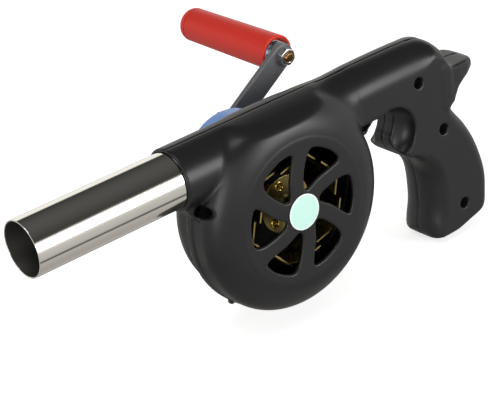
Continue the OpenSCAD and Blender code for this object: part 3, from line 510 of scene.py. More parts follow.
def disc_finish(colour):
    """A printed plastic disc: pale centre, white ring and a dark line round its edge."""
    material, tree, shader = blank("Printed gloss plastic disc")
    place = add(tree, "ShaderNodeTexCoord").outputs["Object"]
    centred = add(tree, "ShaderNodeMapping", {"Vector": place, "Location": (-FAN[0] * MM, 0, -FAN[1] * MM),
                                              "Scale": (1, 0, 1)})
    reach = add(tree, "ShaderNodeVectorMath", {0: centred.outputs["Vector"]}, operation="LENGTH")
    share = add(tree, "ShaderNodeMapRange", {"Value": reach.outputs["Value"], "From Max": 10 * MM})
    white, line = linear("#f4fffb"), linear("#3a4340")
    rings = ramp(tree, share.outputs["Result"], [(0.0, colour), (0.83, colour), (0.85, white), (0.90, white),
                                                 (0.915, line)])
    bump = add(tree, "ShaderNodeBump", {"Height": noise(tree, place, 0.8, 2.0), "Distance": 0.004 * MM})
    feed(tree, shader, {"Base Color": rings, "Normal": bump.outputs["Normal"], "Roughness": 0.30})
    return material


# ---- Housing ----

# Side outline of the frame and grip, clockwise from the barrel's top: x, z, then the edge rounding
# along y and in from the outline
FRAME_LINE = [
    (159.8, 0, 4.3, 4.3), (160.4, 12.7, 12.8, 11.4), (178.7, 14.3, 13.6, 13.3), (189.2, 14.9, 13.6, 13.5),
    (197.1, 15.3, 13.6, 13.5), (214.1, 15.5, 13.6, 13.5), (231.1, 15.1, 13.3, 12.8), (241, 13.6, 12.8, 8.5),
    (246.8, 8.5, 9.9, 6.4), (248.8, 2.5, 7.1, 3.5), (250.2, -1.9, 5.7, 2.8), (250.9, -9.5, 5.7, 3.5),
    (251.9, -20, 7.1, 6), (250.2, -24.5, 7.1, 6.4), (253.6, -30, 7.1, 6.8), (259.4, -38, 7.1, 6.8),
    (265.6, -50.5, 7.1, 6.8), (269.9, -66, 7.1, 6.8), (269.6, -78, 7.1, 6), (266, -88.4, 5.7, 4.3),
    (254, -91.6, 3.5, 2.6), (241.5, -94.5, 3.5, 2.8), (232.6, -94.6, 5.7, 4.3), (229.4, -86, 12.8, 8.5),
    (231.2, -75, 12.8, 9.4), (230.8, -58, 12.8, 9.1), (227.7, -49, 11.4, 6.4), (222, -42.6, 7.1, 3.5),
    (216.5, -40, 4.3, 2.3), (212.6, -34.5, 4.3, 1.8), (211.4, -29.5, 4.3, 1.8), (213.4, -25.8, 4.3, 1.8),
    (215, -20.5, 4.3, 1.8), (213.8, -15, 4.3, 1.8), (208, -12.1, 3.5, 2.8), (181.4, -12, 3.5, 2.8),
    (160.4, -11.8, 3.5, 2.8),
]
# The hollow of the grip, its own edge rounding alike
HOLLOW_LINE = [
    (191.8, 1.6, 4.8, 3), (192.5, 9.3, 7.2, 5.4), (198.4, 14.6, 10.8, 9.6), (211.4, 15.3, 11.5, 11.4),
    (231.1, 15, 11.5, 11.4), (241, 13.6, 11.3, 10.6), (246.8, 8.5, 10.8, 7.2), (248.6, 1.6, 7.2, 4.8),
    *[(x, z, 5.4, 3.2) for x, z in (
        (249.1, -12.3), (248.6, -23.6), (252, -30), (258.3, -38), (264.4, -50.5), (268.7, -66),
        (267.9, -77.6), (263.1, -85.1), (253.3, -88.9), (242.8, -90.3), (235.6, -75), (234.3, -58),
        (231.1, -49), (226.9, -39.7), (225, -28.4), (224.5, -12.1), (191.8, -11.9))],
]
# Thumb rest: its side outline, then half of its plan
REST_SIDE = [
    (243, -1.6), (247.9, -1.7), (254, -2.6), (261.9, -3.3), (267, -4), (269.8, -5.2), (270.4, -6.8),
    (269.3, -8.4), (266, -9.8), (262.3, -11.3), (258, -13.2), (255, -15), (252.2, -19.1), (250, -21.7),
    (243, -21.7),
]
REST_PLAN = [
    (242.8, 13.9), (250, 13.8), (255.9, 13.3), (262.5, 11.9), (267, 9.9), (269.3, 7.1), (270.4, 3.5),
    (270.8, 0),
]
# One vent window: radius and angle about the fan axis
WINDOW_LINE = [
    (31.4, 40), (31.7, 48), (31.7, 56), (31.7, 64), (31.2, 72), (27.9, 76.5), (21.6, 79.5), (14.6, 81),
    (11.4, 77), (10.9, 68), (13.3, 58), (17.8, 49), (23.5, 40), (27.9, 36), (30.6, 35.5),
]
# Places of the screws in the grip and in the two ears, and of the posts under the bearing plate
GRIP_SCREWS = [(226.7, -2.2), (240.7, -32.8), (250.8, -79.1)]
LUGS = [(89.6, -16.6), (193.8, -14.0)]
POSTS = around(FAN, 43.5, (-22, -100, -158))
# An ear's rounding in outline and its height over the joint
LUG_ROUND, LUG_TOP = 2.5, 9.2
# The dish for the first finger: centre, radius and the floor's height over the joint
SCOOP, SCOOP_R, SCOOP_FLOOR = (207.6, -23.8), 14.6, 6.25
# The vented half's roof arches over the barrel: radius and height
ROOF_R, ROOF_TOP = 55.0, 15.5
# The crank half's roof falls away from the joint as a quarter ellipse: height at the joint, reach out
CASE_ROOF, CASE_ROOF_REACH = 15.2, 22.7
# The first vent window's middle and the turn from one to the next, in degrees
WINDOW_MID, WINDOW_TURN = 58.2, 60.0
# The drum halves' edge rounding: in from the rim, then back from the face
VENT_EDGE, CASE_EDGE = (17.4, 11.1), (17.0, 14.1)
# The lip round the vented half's joint, and the nub on it
LIP_OUT, LIP_REACH = 0.6, 4.4
NUB, NUB_R = (FAN[0] - 34.26, FAN[1] - 40.83), 1.6
# The vented face's faint round step
STEP_R, STEP_HEIGHT = 36.6, 0.16
# The tube's seat and the duct behind it: radius and end of each, then the duct wall's outer radius
SEAT_R, SEAT_END, DUCT_R, DUCT_END, DUCT_OUT = 13.65, 101.5, 13.3, 185.3, 15.2
# Screw wells, shank and pilot holes, and the bosses round them in the two halves
WELL_R, WELL_DEPTH, LUG_WELL, SHANK_R, PILOT_R = 2.95, 5.2, 5.6, 1.7, 1.35
BOSS_R, NUT_BOSS_R, POST_R = 4.7, 3.7, 3.4
# The hub inside the vented face and the hole for its bush
HUB_R, HUB_LENGTH, BUSH_R = 6.5, 4.4, 4.04
# The pad that carries the gear cover, and the hole in it
PAD_R, PAD_MID, PAD_HALF, PAD_HOLE_R, PAD_FLOOR = 25.2, 18.3, 4.7, 21.2, 15.24
# How far each half stays from the joint's plane
JOINT_GAP = 0.03


def away(x, z, place):
    """Distance from an axis along y."""
    return np.hypot(x - place[0], z - place[1])


def lug_line(place):
    """Corners of an ear about its screw, clockwise; its edge is rounded outwards by LUG_ROUND."""
    x, z = place
    return np.array([(x - 5.2, z + 4.8), (x + 5.6, z + 3.4), (x - 0.8, z - 2.4)])


def round_roof(y, z):
    return np.hypot(y, z - ROOF_TOP + ROOF_R) - ROOF_R


class Mould:
    """Outlines that both halves of the housing share, and the forms cut or raised from them."""

    def __init__(self):
        self.frame = outline_table(smooth_loop(FRAME_LINE, 6))
        self.hollow = outline_table(smooth_loop(HOLLOW_LINE, 4), step=0.8)
        self.rest = outline_table(smooth_loop(REST_SIDE, 4))
        plan = REST_PLAN + [(x, -y) for x, y in REST_PLAN[-2::-1]]
        self.plan = outline_table(np.array(plan, float))
        window = [around((0, 0), r, [a])[0] for r, a in WINDOW_LINE]
        self.window = outline_table(smooth_loop(window, 6), margin=4.0, step=0.3)
        self.lugs = [outline_table(lug_line(p), margin=12.0) for p in LUGS]

    def outside(self, x, y, z, s, size, drum, roof):
        """Outer form of a half, without the cuts. s is the distance from the joint outwards."""
        radius, depth, edge, vented = drum
        rho = away(x, z, FAN)
        body = edged(rho - radius, s - depth, *edge)
        if vented:
            lip = edged(rho - radius - LIP_OUT, s - LIP_REACH, 0.4, 0.4)
            nub = edged(away(x, z, NUB) - NUB_R, s - LIP_REACH / 2, 0.4, 0.4)
            body = join(body, join(lip, nub, 0.5), 0.4)
        body = both(body, roof, 2.0)
        # The barrel tapers a little towards the drum's far side
        fade = np.clip((x - 162) / 24, 0, 1)
        reach = size.barrel_radius / MM - 1.6 * fade * fade * (3 - 2 * fade)
        barrel = edged(np.hypot(y, z) - reach, size.barrel_front / MM - x, 0.7, 0.7)
        barrel = np.maximum(barrel, x - 187)
        # Its blend with the drum is tight at the nozzle end and widens towards the windows
        blend = np.interp(x, (96, 132), (1.5, size.fillet / MM)) if vented else 2.0
        body = join(body, barrel, blend)
        across, round_y, round_x = look_up(self.frame, x, z)
        grip = edged(across, s - size.grip_half / MM, round_x, round_y)
        rest = both(look_up(self.rest, x, z)[0], look_up(self.plan, x, s)[0], 2.0)
        body = join(body, join(grip, rest, 2.0), 1.5)
        body = both(body, round_roof(y, z), 0.6)
        for table in self.lugs:
            flat = look_up(table, x, z)[0]
            body = join(body, edged(flat - LUG_ROUND, s - LUG_TOP, 0.6, 0.6), 1.2)
        return body, rho

    def crank_side(self, x, y, z, size):
        """Outer form of the crank half without its pad, and the distance from the fan axis."""
        roof = edged(z - CASE_ROOF, y - CASE_ROOF_REACH, 28.0, 22.7)
        drum = (size.case_radius / MM, size.case_depth / MM, CASE_EDGE, False)
        return self.outside(x, y, z, y, size, drum, roof)

    def vents(self, x, z, rho):
        """Distance to the nearest vent window."""
        angle = np.degrees(np.arctan2(z - FAN[1], x - FAN[0]))
        angle = (angle - WINDOW_MID + WINDOW_TURN / 2) % WINDOW_TURN + WINDOW_MID - WINDOW_TURN / 2
        angle = np.radians(angle)
        return look_up(self.window, rho * np.cos(angle), rho * np.sin(angle))[0]

    def hollowed(self, body, x, z, s, size, boss):
        """A half with the grip's hollow, in which the screws' bosses stay."""
        deep = s - size.grip_half / MM
        across, round_y, round_x = look_up(self.hollow, x, z)
        body = cut(body, edged(across + size.wall / MM, deep + size.wall / MM, round_x, round_y), 0.5)
        for place in GRIP_SCREWS:
            body = np.minimum(body, np.maximum(away(x, z, place) - boss, deep + 1.1))
        return body

    def bored(self, body, x, y, z, s, size):
        """A half with the tube's seat, the duct and the dish for the first finger."""
        bore = np.hypot(y, z)
        body = cut(body, np.maximum(bore - SEAT_R, x - SEAT_END), 0.5)
        body = cut(body, np.maximum(bore - DUCT_R, x - DUCT_END), 0.5)
        half = size.grip_half / MM
        dish = half - SCOOP_FLOOR
        out = np.maximum(away(x, z, SCOOP) - SCOOP_R + dish, 0)
        return cut(body, np.hypot(out, s - half) - dish, 1.0)


def left_field(mould, size):
    wall, depth, radius = size.wall / MM, size.drum_depth / MM, size.drum_radius / MM

    def field(x, y, z):
        s = -y
        roof = round_roof(y, z) + 0.6
        body, rho = mould.outside(x, y, z, s, size, (radius, depth, VENT_EDGE, True), roof)
        room = both(edged(rho - radius + wall, s - depth + wall, 17.4, 8.9), roof + wall, 1.0)
        # The vented face stands a hair proud inside a faint round step
        rim = np.clip((rho - STEP_R) / 0.9, 0, 1) * np.clip((s - depth + 6) / 5, 0, 1)
        body = cut(body + STEP_HEIGHT * rim, room, 0.5)
        body = mould.hollowed(body, x, z, s, size, BOSS_R)
        hub = np.maximum(s - depth + 1, depth - wall - HUB_LENGTH - s)
        body = join(body, np.maximum(rho - HUB_R, hub), 0.4)
        body = mould.bored(body, x, y, z, s, size)
        body = cut(body, np.maximum(mould.vents(x, z, rho), depth - wall - 1 - s), 0.9)
        body = cut(body, np.maximum(rho - BUSH_R, s - depth + wall), 0.3)
        floor = size.grip_half / MM - WELL_DEPTH
        for place, seat in [(p, floor) for p in GRIP_SCREWS] + [(p, LUG_WELL) for p in LUGS]:
            gap = away(x, z, place)
            body = cut(body, np.maximum(gap - WELL_R, seat - s), 0.5)
            body = cut(body, gap - SHANK_R, 0.3)
        return both(body, JOINT_GAP - s, size.joint_round / MM)

    return field


def right_field(mould, size):
    wall, depth, radius = size.wall / MM, size.case_depth / MM, size.case_radius / MM

    def field(x, y, z):
        body, rho = mould.crank_side(x, y, z, size)
        off = away(x, z, CRANK)
        body = join(body, edged(off - PAD_R, np.abs(y - PAD_MID) - PAD_HALF, 0.5, 0.5), 0.8)
        low_roof = edged(z - CASE_ROOF + wall, y - CASE_ROOF_REACH + wall, 28.0, 20.5)
        room = both(edged(rho - radius + wall, y - depth + wall, 17.0, 11.9), low_roof, 1.0)
        body = cut(body, room, 0.5)
        # A lip round the drum's joint closes the step between the two halves' radii
        lip = np.maximum(np.abs(rho - 49.9) - 1.9, np.maximum(y - 1.5, z + 16))
        body = mould.hollowed(join(body, lip, 0.4), x, z, y, size, NUT_BOSS_R)
        for place in POSTS:
            post = edged(away(x, z, place) - POST_R, np.abs(y - 11.75) - 3.75, 0.3, 0.3)
            body = join(body, post, 0.4)
        duct = np.maximum(np.hypot(y, z) - DUCT_OUT, np.abs(x - 135.5) - 51.7)
        body = join(body, np.maximum(duct, np.maximum(8.04 - y, z)), 0.3)
        body = mould.bored(body, x, y, z, y, size)
        body = cut(body, np.maximum(off - PAD_HOLE_R, PAD_FLOOR - y), 0.4)
        for place in GRIP_SCREWS + LUGS:
            body = cut(body, np.maximum(away(x, z, place) - PILOT_R, y - 8.2), 0.3)
        return both(body, JOINT_GAP - y, size.joint_round / MM)

    return field


def skirt_field(mould, size):
    """The gear cover's skirt: a ring round the pad that reaches down to the roof."""
    def field(x, y, z):
        ring = both(np.abs(away(x, z, CRANK) - 25.85) - 0.55, np.abs(y - 18.5) - 4.5, 0.3)
        return cut(ring, mould.crank_side(x, y, z, size)[0] - 0.35, 0.4)

    return field


MOULDS = {}


def moulded(field, low, high, step, rounds=4):
    """Points and faces of a form that is made from the housing's outlines."""
    if not MOULDS:
        MOULDS["both"] = Mould()
    return formed(field(MOULDS["both"], bpy.context.scene.fan_housing), low, high, step, rounds)


def shell(name, field, low_y, high_y, node):
    step = bpy.context.scene.fan_housing.mesh_step / MM * 1.0
    shape = moulded(field, (80.0, low_y, -97.0), (273.0, high_y, 17.5), step, 4)
    piece(name, shape, "housing", "housing_black", node, weighted=False)


class FanPiece:
    """What the operators share: each builds its pieces and is done."""

    def execute(self, context):
        self.build(context)
        return {"FINISHED"}


class MakeLeftShell(FanPiece, bpy.types.Operator):
    """Mould the vented half: drum, barrel, grip, trigger, thumb rest, windows and screw wells"""
    bl_idname = "fan.make_left_shell"
    bl_label = "Vented half"

    def build(self, context):
        shell("vented_half", left_field, -23.6, 1.2, "left_shell")


class MakeRightShell(FanPiece, bpy.types.Operator):
    """Mould the crank-side half with its raised pad, posts and duct wall"""
    bl_idname = "fan.make_right_shell"
    bl_label = "Crank half"

    def build(self, context):
        shell("crank_half", right_field, -1.2, 24.4, "right_shell")


class MakeTube(FanPiece, bpy.types.Operator):
    """Turn the steel nozzle tube with its dressed mouth"""
    bl_idname = "fan.make_tube"
    bl_label = "Nozzle tube"

    def build(self, context):
        size = context.scene.fan_metal
        out, bore, end = size.tube_radius / MM, (size.tube_radius - size.tube_wall) / MM, size.tube_end / MM
        step, seat = 80.8, out - 0.4
        profile = rounded([(bore, 0), (out, 0), (out, step), (seat, step), (seat, end), (bore, end)], 0.25, 3)
        shape = turned(profile, (0, 0), 160, along="x")
        tube = piece("steel_tube", shape, "housing", "tube_steel", "nozzle_tube").data
        tube.materials.append(finishes()["tube_bore"])
        for face in tube.polygons:
            if math.hypot(face.center.y, face.center.z) < (bore + 0.05) * MM:
                face.material_index = 1


class MakeDisc(FanPiece, bpy.types.Operator):
    """Mould the plain disc over the hub"""
    bl_idname = "fan.make_disc"
    bl_label = "Hub disc"

    def build(self, context):
        low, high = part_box("hub_badge")
        r, face, back = (high.x - low.x) / 2 / MM, low.y / MM, high.y / MM
        crown = [(0, face), (r * 0.6, face + 0.02), (r * 0.93, face + 0.14), (r, face + 0.42), (r, back),
                 (0, back)]
        piece("hub_disc", turned(rounded(crown, 0.25, 3), FAN), "housing", "badge", "hub_badge")


class MakeCover(FanPiece, bpy.types.Operator):
    """Turn the blue cover that closes the gear case and carries the crank's outer bearing"""
    bl_idname = "fan.make_cover"
    bl_label = "Gear cover"

    def build(self, context):
        profile = [(4.56, 23.02), (25.35, 23.02), (25.35, 22.05), (26.4, 22.05), (26.4, 24.6), (24.9, 26),
                   (11.6, 26), (9.4, 27.2), (8.9, 32.6), (6.9, 32.6), (6.9, 32.0), (4.56, 32.0)]
        shape = turned(rounded(profile, 0.8, 5), CRANK, 128)
        piece("blue_cover", shape, "housing", "cover_blue", "gear_cover")
        shape = moulded(skirt_field, (104.0, 13.0, -12.0), (162.0, 24.0, 11.0), 0.45)
        piece("cover_skirt", shape, "housing", "cover_blue")


def formed_in(node, field, step, margin):
    """A form meshed within a CAD node's box and a margin."""
    low, high = [[c / MM for c in corner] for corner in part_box(node)]
    return formed(field, [c - margin for c in low], [c + margin for c in high], step)


def arm_field(x, y, z):
    """The flat crank arm: two round ends and a straight bar, its edges broken."""
    width = bpy.context.scene.fan_metal.arm_width / MM
    dx, dz = HANDLE[0] - CRANK[0], HANDLE[1] - CRANK[1]
    t = np.clip(((x - CRANK[0]) * dx + (z - CRANK[1]) * dz) / (dx * dx + dz * dz), 0, 1)
    bar = np.hypot(x - CRANK[0] - t * dx, z - CRANK[1] - t * dz) - width / 2
    at_root, at_tip = away(x, z, CRANK), away(x, z, HANDLE)
    arm = edged(join(bar, at_root - width * 0.62, 2.0), np.abs(y - 37.8) - 1.5, 0.45, 0.45)
    return cut(cut(arm, at_tip - 2.55, 0.3), at_root - 2.95, 0.3)


class MakeArm(FanPiece, bpy.types.Operator):
    """Cut the flat crank arm with broken edges"""
    bl_idname = "fan.make_arm"
    bl_label = "Crank arm"

    def build(self, context):
        piece("arm", formed_in("crank_arm", arm_field, 0.4, 0.8), "crank", "arm_grey", "crank_arm")


def nut_field(x, y, z):
    """Hexagon nut with its outer face chamfered and a bore."""
    half = bpy.context.scene.fan_metal.nut_width / 2 / MM
    low, high = 32.3, 36.3
    dx, dz = x - HANDLE[0], z - HANDLE[1]
    flat = np.full(np.broadcast(dx, dz).shape, -np.inf)
    for a in np.radians((63.5, 123.5, 183.5)):
        flat = np.maximum(flat, np.abs(dx * np.cos(a) + dz * np.sin(a)) - half)
    rho = np.hypot(dx, dz)
    body = both(flat, np.abs(y - (low + high) / 2) - (high - low) / 2, 0.2)
    body = both(body, (rho - half * 1.02) * 0.5 + (low + 0.1 - y) * 0.87, 0.2)
    return cut(body, rho - 2.52, 0.5)


class MakeSpindle(FanPiece, bpy.types.Operator):
    """Make the handle's spindle bolt, its nut and the collar between arm and handle"""
    bl_idname = "fan.make_spindle"
    bl_label = "Handle spindle"

    def build(self, context):
        piece("nut", formed_in("handle_nut", nut_field, 0.25, 0.6), "crank", "nut_chrome", "handle_nut")
        low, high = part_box("handle_bolt")
        tip, end = low.y / MM, high.y / MM
        thread = []
        for k in range(7):
            thread += [(2.5, tip + 0.5 + 0.8 * k), (2.16, tip + 0.9 + 0.8 * k)]
        bolt = [(0, tip), (1.95, tip), *thread, (2.5, tip + 6.2), (2.5, 43.9), (3, 43.9), (3, end - 3.4),
                (4.6, end - 3.4), (4.6, end - 0.6), (4, end), (0, end)]
        piece("spindle", turned(rounded(bolt, 0.2, 2), HANDLE, 64), "crank", "bolt_zinc", "handle_bolt")
        collar = [(2.55, 39.3), (6.2, 39.3), (6.2, 40.7), (5.7, 41.0), (5.7, 42.0), (6.2, 42.3), (6.2, 43.9),
                  (2.55, 43.9)]
        shape = turned(rounded(collar, 0.3, 3), HANDLE, 80)
        piece("collar", shape, "crank", "collar_steel", "handle_collar")


class MakeHandle(FanPiece, bpy.types.Operator):
    """Mould the red handle with its recess, slight taper and rounded far end"""
    bl_idname = "fan.make_handle"
    bl_label = "Handle"

    def build(self, context):
        size = context.scene.fan_handle
        near, far, bend = size.near_radius / MM, size.far_radius / MM, size.end_round / MM
        y0, y1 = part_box("handle_grip")[0].y / MM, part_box("handle_cap")[1].y / MM
        seam = y1 - 6
        at_seam = near + (far - near) * (seam - y0) / (y1 - y0)
        sleeve = [(7.5, y0), (near, y0), (near, y0 + 8), (at_seam, seam - 0.02), (5.4, seam - 0.02),
                  (5.4, seam - 7), (3.04, seam - 7), (3.04, 44.2), (7.5, 44.2)]
        shape = turned(rounded(sleeve, 0.7, 5), HANDLE, 112)
        grip = piece("handle_sleeve", shape, "handle", "handle_red", "handle_grip")
        # The photo's black roof shows no red gleam
        grip.visible_glossy = False
        arc = [(at_seam - bend + bend * math.cos(f), y1 - bend + bend * math.sin(f))
               for f in np.radians(np.linspace(0, 90, 12))]
        cap = [(0, seam - 3), (5.35, seam - 3), (5.35, seam), (at_seam - 0.12, seam),
               (at_seam, seam + 0.14), *arc, (0, y1)]
        piece("handle_end", turned(cap, HANDLE, 112), "handle", "handle_red", "handle_cap")


# ---- What repeats, by Geometry Nodes ----

class Net:
    """A geometry tree in the making; each call adds a node and returns its first output."""

    def __init__(self, name, inputs):
        self.tree = bpy.data.node_groups.new(name, "GeometryNodeTree")
        ends = self.tree.interface
        ends.new_socket("Geometry", in_out="INPUT", socket_type="NodeSocketGeometry")
        for label, default in inputs.items():
            kind = "NodeSocketInt" if isinstance(default, int) else "NodeSocketFloat"
            ends.new_socket(label, in_out="INPUT", socket_type=kind).default_value = default
        ends.new_socket("Geometry", in_out="OUTPUT", socket_type="NodeSocketGeometry")
        self.into = add(self.tree, "NodeGroupInput").outputs

    def geo(self, kind, **given):
        """A geometry node: sockets are keywords with a capital and _ for a space, the rest are settings."""
        sockets = {key.replace("_", " "): value for key, value in given.items() if key[0].isupper()}
        settings = {key: value for key, value in given.items() if key[0].islower()}
        return add(self.tree, "GeometryNode" + kind, sockets, **settings).outputs[0]

    def math(self, operation, *values):
        return add(self.tree, "ShaderNodeMath", dict(enumerate(values)), operation=operation).outputs[0]

    def xyz(self, **parts):
        return add(self.tree, "ShaderNodeCombineXYZ", parts).outputs[0]

    def ended(self, geometry, material):
        """The finished tree: its instances made real, with their material and flat shading."""
        solid = self.geo("RealizeInstances", Geometry=geometry)
        painted = self.geo("SetMaterial", Geometry=solid, Material=material)
        flat = self.geo("SetShadeSmooth", Geometry=painted, Shade_Smooth=False)
        add(self.tree, "NodeGroupOutput", {"Geometry": flat})
        return self.tree


def grown(name, tree, points, values, body, slot, *nodes, edges=(), sharp=35.0):
    """Runs a geometry tree on a small mesh of points or edges and keeps the result as one plain mesh."""
    mesh = bpy.data.meshes.new(name)
    mesh.from_pydata([[c * MM for c in p] for p in points], list(edges), [])
    seed = bpy.data.objects.new(name + "_seed", mesh)
    bpy.context.scene.collection.objects.link(seed)
    modifier = seed.modifiers.new("Nodes", "NODES")
    modifier.node_group = tree
    for socket in tree.interface.items_tree:
        if socket.in_out == "INPUT" and socket.name in values:
            modifier[socket.identifier] = values[socket.name]
    baked = bpy.data.meshes.new_from_object(seed.evaluated_get(bpy.context.evaluated_depsgraph_get()))
    seed.modifiers.remove(modifier)
    bpy.data.objects.remove(seed)
    baked.name = name
    baked.polygons.foreach_set("use_smooth", [True] * len(baked.polygons))
    baked.set_sharp_from_angle(angle=math.radians(sharp))
    return claim(name, baked, body, slot, *nodes)


def cross_screws(material):
    """Pan-head cross screws, one on each point, with their heads towards -Y or +Y."""
    net = Net("Cross screws", {"Head radius": 2.6 * MM, "Head height": 1.8 * MM, "Shank radius": 1.3 * MM,
                               "Length": 18 * MM, "Turn": 0.0})
    radius, height, reach = (net.into[key] for key in ("Head radius", "Head height", "Length"))

    def scaled(socket, by):
        return net.math("MULTIPLY", socket, by)

    def raised(geometry, up):
        return net.geo("Transform", Geometry=geometry, Translation=net.xyz(Z=up))

    rim = net.geo("MeshCylinder", Vertices=32, Radius=radius, Depth=scaled(height, 0.5))
    crown = net.geo("MeshCone", Vertices=32, Radius_Bottom=radius, Radius_Top=scaled(radius, 0.72),
                    Depth=scaled(height, 0.5))
    head = net.geo("JoinGeometry", Geometry=[raised(crown, scaled(height, 0.5)),
                                             raised(rim, scaled(height, 0.25))])
    blade = net.geo("MeshCube", Size=net.xyz(X=scaled(radius, 1.25), Y=scaled(radius, 0.38),
                                             Z=scaled(height, 1.1)))
    blade = raised(blade, scaled(height, 1.15))
    across = net.geo("Transform", Geometry=blade, Rotation=(0, 0, math.pi / 2))
    head = net.geo("MeshBoolean", Mesh_1=head, Mesh_2=[blade, across], operation="DIFFERENCE")
    shank = net.geo("MeshCylinder", Vertices=24, Radius=net.into["Shank radius"], Depth=reach)
    whole = net.geo("JoinGeometry", Geometry=[head, raised(shank, scaled(reach, -0.5))])
    placed = net.geo("InstanceOnPoints", Points=net.into["Geometry"], Instance=whole,
                     Rotation=net.xyz(X=net.into["Turn"]))
    return net.ended(placed, material)


class MakeScrews(FanPiece, bpy.types.Operator):
    """Set the cross screws of the housing, the bearing plate and the gear cover"""
    bl_idname = "fan.make_screws"
    bl_label = "Screws"

    def build(self, context):
        tree = cross_screws(finishes()["screw_black"])
        front, back = math.pi / 2, -math.pi / 2
        small = {"Head radius": 2.1 * MM, "Head height": 1.3 * MM, "Shank radius": 1.1 * MM}
        covered = around(CRANK, 23.2, (90, 210, 330))
        for name, places, y, reach, turn, values, *nodes in (
                ("grip_screws", GRIP_SCREWS, -9.0, 18, front, {}, "case_screws"),
                ("lug_screws", LUGS, -LUG_WELL, 12.6, front, {}),
                ("plate_screw_set", POSTS, 5.6, 8.9, front, {}, "plate_screws"),
                ("cover_screw_set", covered, 26, 8, back, small, "cover_screws")):
            values = {**values, "Length": reach * MM, "Turn": turn}
            spots = [(x, y, z) for x, z in places]
            grown(name, tree, spots, values, "housing", "screw_black", *nodes)


def folded_blades(material):
    """Blades round the fan axis, swept from the section that the seed's edges give."""
    net = Net("Folded blades", {"Blades": 6, "Blade length": 23 * MM, "Start radius": 13 * MM,
                                "Sheet": 0.8 * MM, "Bend radius": 1.2 * MM, "First angle": 0.0})
    into = net.into
    line = net.geo("MeshToCurve", Mesh=into["Geometry"])
    bent = net.geo("FilletCurve", Curve=line, Radius=into["Bend radius"], Count=5, Limit_Radius=True,
                   mode="POLY")
    level = net.geo("SetCurveNormal", Curve=bent)
    sheet = net.geo("CurvePrimitiveQuadrilateral", Width=into["Sheet"], Height=into["Blade length"])
    swept = net.geo("CurveToMesh", Curve=level, Profile_Curve=sheet, Fill_Caps=True)
    middle = net.math("ADD", net.math("MULTIPLY", into["Blade length"], 0.5), into["Start radius"])
    blade = net.geo("Transform", Geometry=swept, Translation=net.xyz(X=middle))
    each = net.math("DIVIDE", 2 * math.pi, into["Blades"])
    angle = net.math("MULTIPLY_ADD", net.geo("InputIndex"), each, into["First angle"])
    count = net.geo("MeshLine", Count=into["Blades"], Offset=(0, 0, 0))
    ring = net.geo("InstanceOnPoints", Points=count, Instance=blade, Rotation=net.xyz(Y=angle))
    centred = net.geo("Transform", Geometry=ring, Translation=(FAN[0] * MM, 0, FAN[1] * MM))
    return net.ended(centred, material)


def eyelets(material):
    """Rolled eyelets on points: a tube with a rounded flange on each side."""
    net = Net("Eyelets", {"Flange radius": 2.15 * MM, "Roll radius": 0.55 * MM, "Half grip": 1.05 * MM})
    half = net.into["Half grip"]

    def circle(points, radius):
        return net.geo("CurvePrimitiveCircle", Resolution=points, Radius=radius)

    flange = net.geo("CurveToMesh", Curve=circle(40, net.into["Flange radius"]),
                     Profile_Curve=circle(12, net.into["Roll radius"]))
    flanges = [net.geo("Transform", Geometry=flange, Translation=net.xyz(Z=up))
               for up in (half, net.math("MULTIPLY", half, -1.0))]
    wall = net.geo("CurvePrimitiveQuadrilateral", Width=0.6 * MM, Height=2.4 * MM)
    tube = net.geo("CurveToMesh", Curve=circle(40, 1.36 * MM), Profile_Curve=wall)
    whole = net.geo("JoinGeometry", Geometry=[*flanges, tube])
    placed = net.geo("InstanceOnPoints", Points=net.into["Geometry"], Instance=whole,
                     Rotation=(math.pi / 2, 0, 0))
    return net.ended(placed, material)


# The impeller's first arm in degrees, half an arm's width and the back of its sheet
ARM_TURN, ARM_HALF, SHEET_BACK = 44.3, 5.6, -8.0


class MakeImpeller(FanPiece, bpy.types.Operator):
    """Fold the impeller's blades from sheet, with its disc, and set its eyelets"""
    bl_idname = "fan.make_impeller"
    bl_label = "Impeller"

    def build(self, context):
        size = context.scene.fan_metal
        sheet = size.sheet / MM
        edge, mid, start = ARM_HALF - sheet / 2, SHEET_BACK - sheet / 2, 13.0 * MM
        section = [(0, -16.2, edge), (0, mid, edge), (0, mid, -edge), (0, 1.4, -edge)]
        values = {"Sheet": size.sheet, "Bend radius": size.bend_radius, "Start radius": start,
                  "Blade length": size.impeller_radius - start, "First angle": -math.radians(ARM_TURN)}
        grown("blades", folded_blades(finishes()["impeller_gold"]), section, values, "impeller",
              "impeller_gold", "impeller_wheel", edges=[(0, 1), (1, 2), (2, 3)])
        disc = rounded([(5.64, -8.8), (14.6, -8.8), (14.6, -8), (5.64, -8)], 0.2, 3)
        piece("impeller_disc", turned(disc, FAN), "impeller", "impeller_gold")
        turns = [ARM_TURN + 60 + 120 * k for k in range(3)]
        spots = [(x, -7.8, z) for x, z in around(FAN, 10.7, turns)]
        grown("eyelets", eyelets(finishes()["rivet_brass"]), spots, {}, "impeller", "rivet_brass",
              "impeller_rivets", sharp=50.0)


class FinishInnerWorks(FanPiece, bpy.types.Operator):
    """Give every carried node of the gear train and bearings its own finish"""
    bl_idname = "fan.finish_inner_works"
    bl_label = "Inner works"

    def build(self, context):
        slots = {row["node"]: row["material_slot"] for row in frame["record"]["subparts"]}
        for name, obj in frame["nodes"].items():
            material = finishes()[slots[name]]
            if not obj.material_slots:
                obj.data.materials.append(material)
            for held in obj.material_slots:
                held.material = material


# ---- Stage ----

def camera_frame(azimuth, elevation, roll):
    """Right, up and back of a camera that looks at the object from azimuth and elevation."""
    a, e, t = (math.radians(v) for v in (azimuth, elevation, roll))
    back = Vector((-math.sin(a) * math.cos(e), -math.cos(a) * math.cos(e), math.sin(e)))
    right = Vector((math.cos(a), -math.sin(a), 0))
    up = back.cross(right)
    return math.cos(t) * right + math.sin(t) * up, -math.sin(t) * right + math.cos(t) * up, back


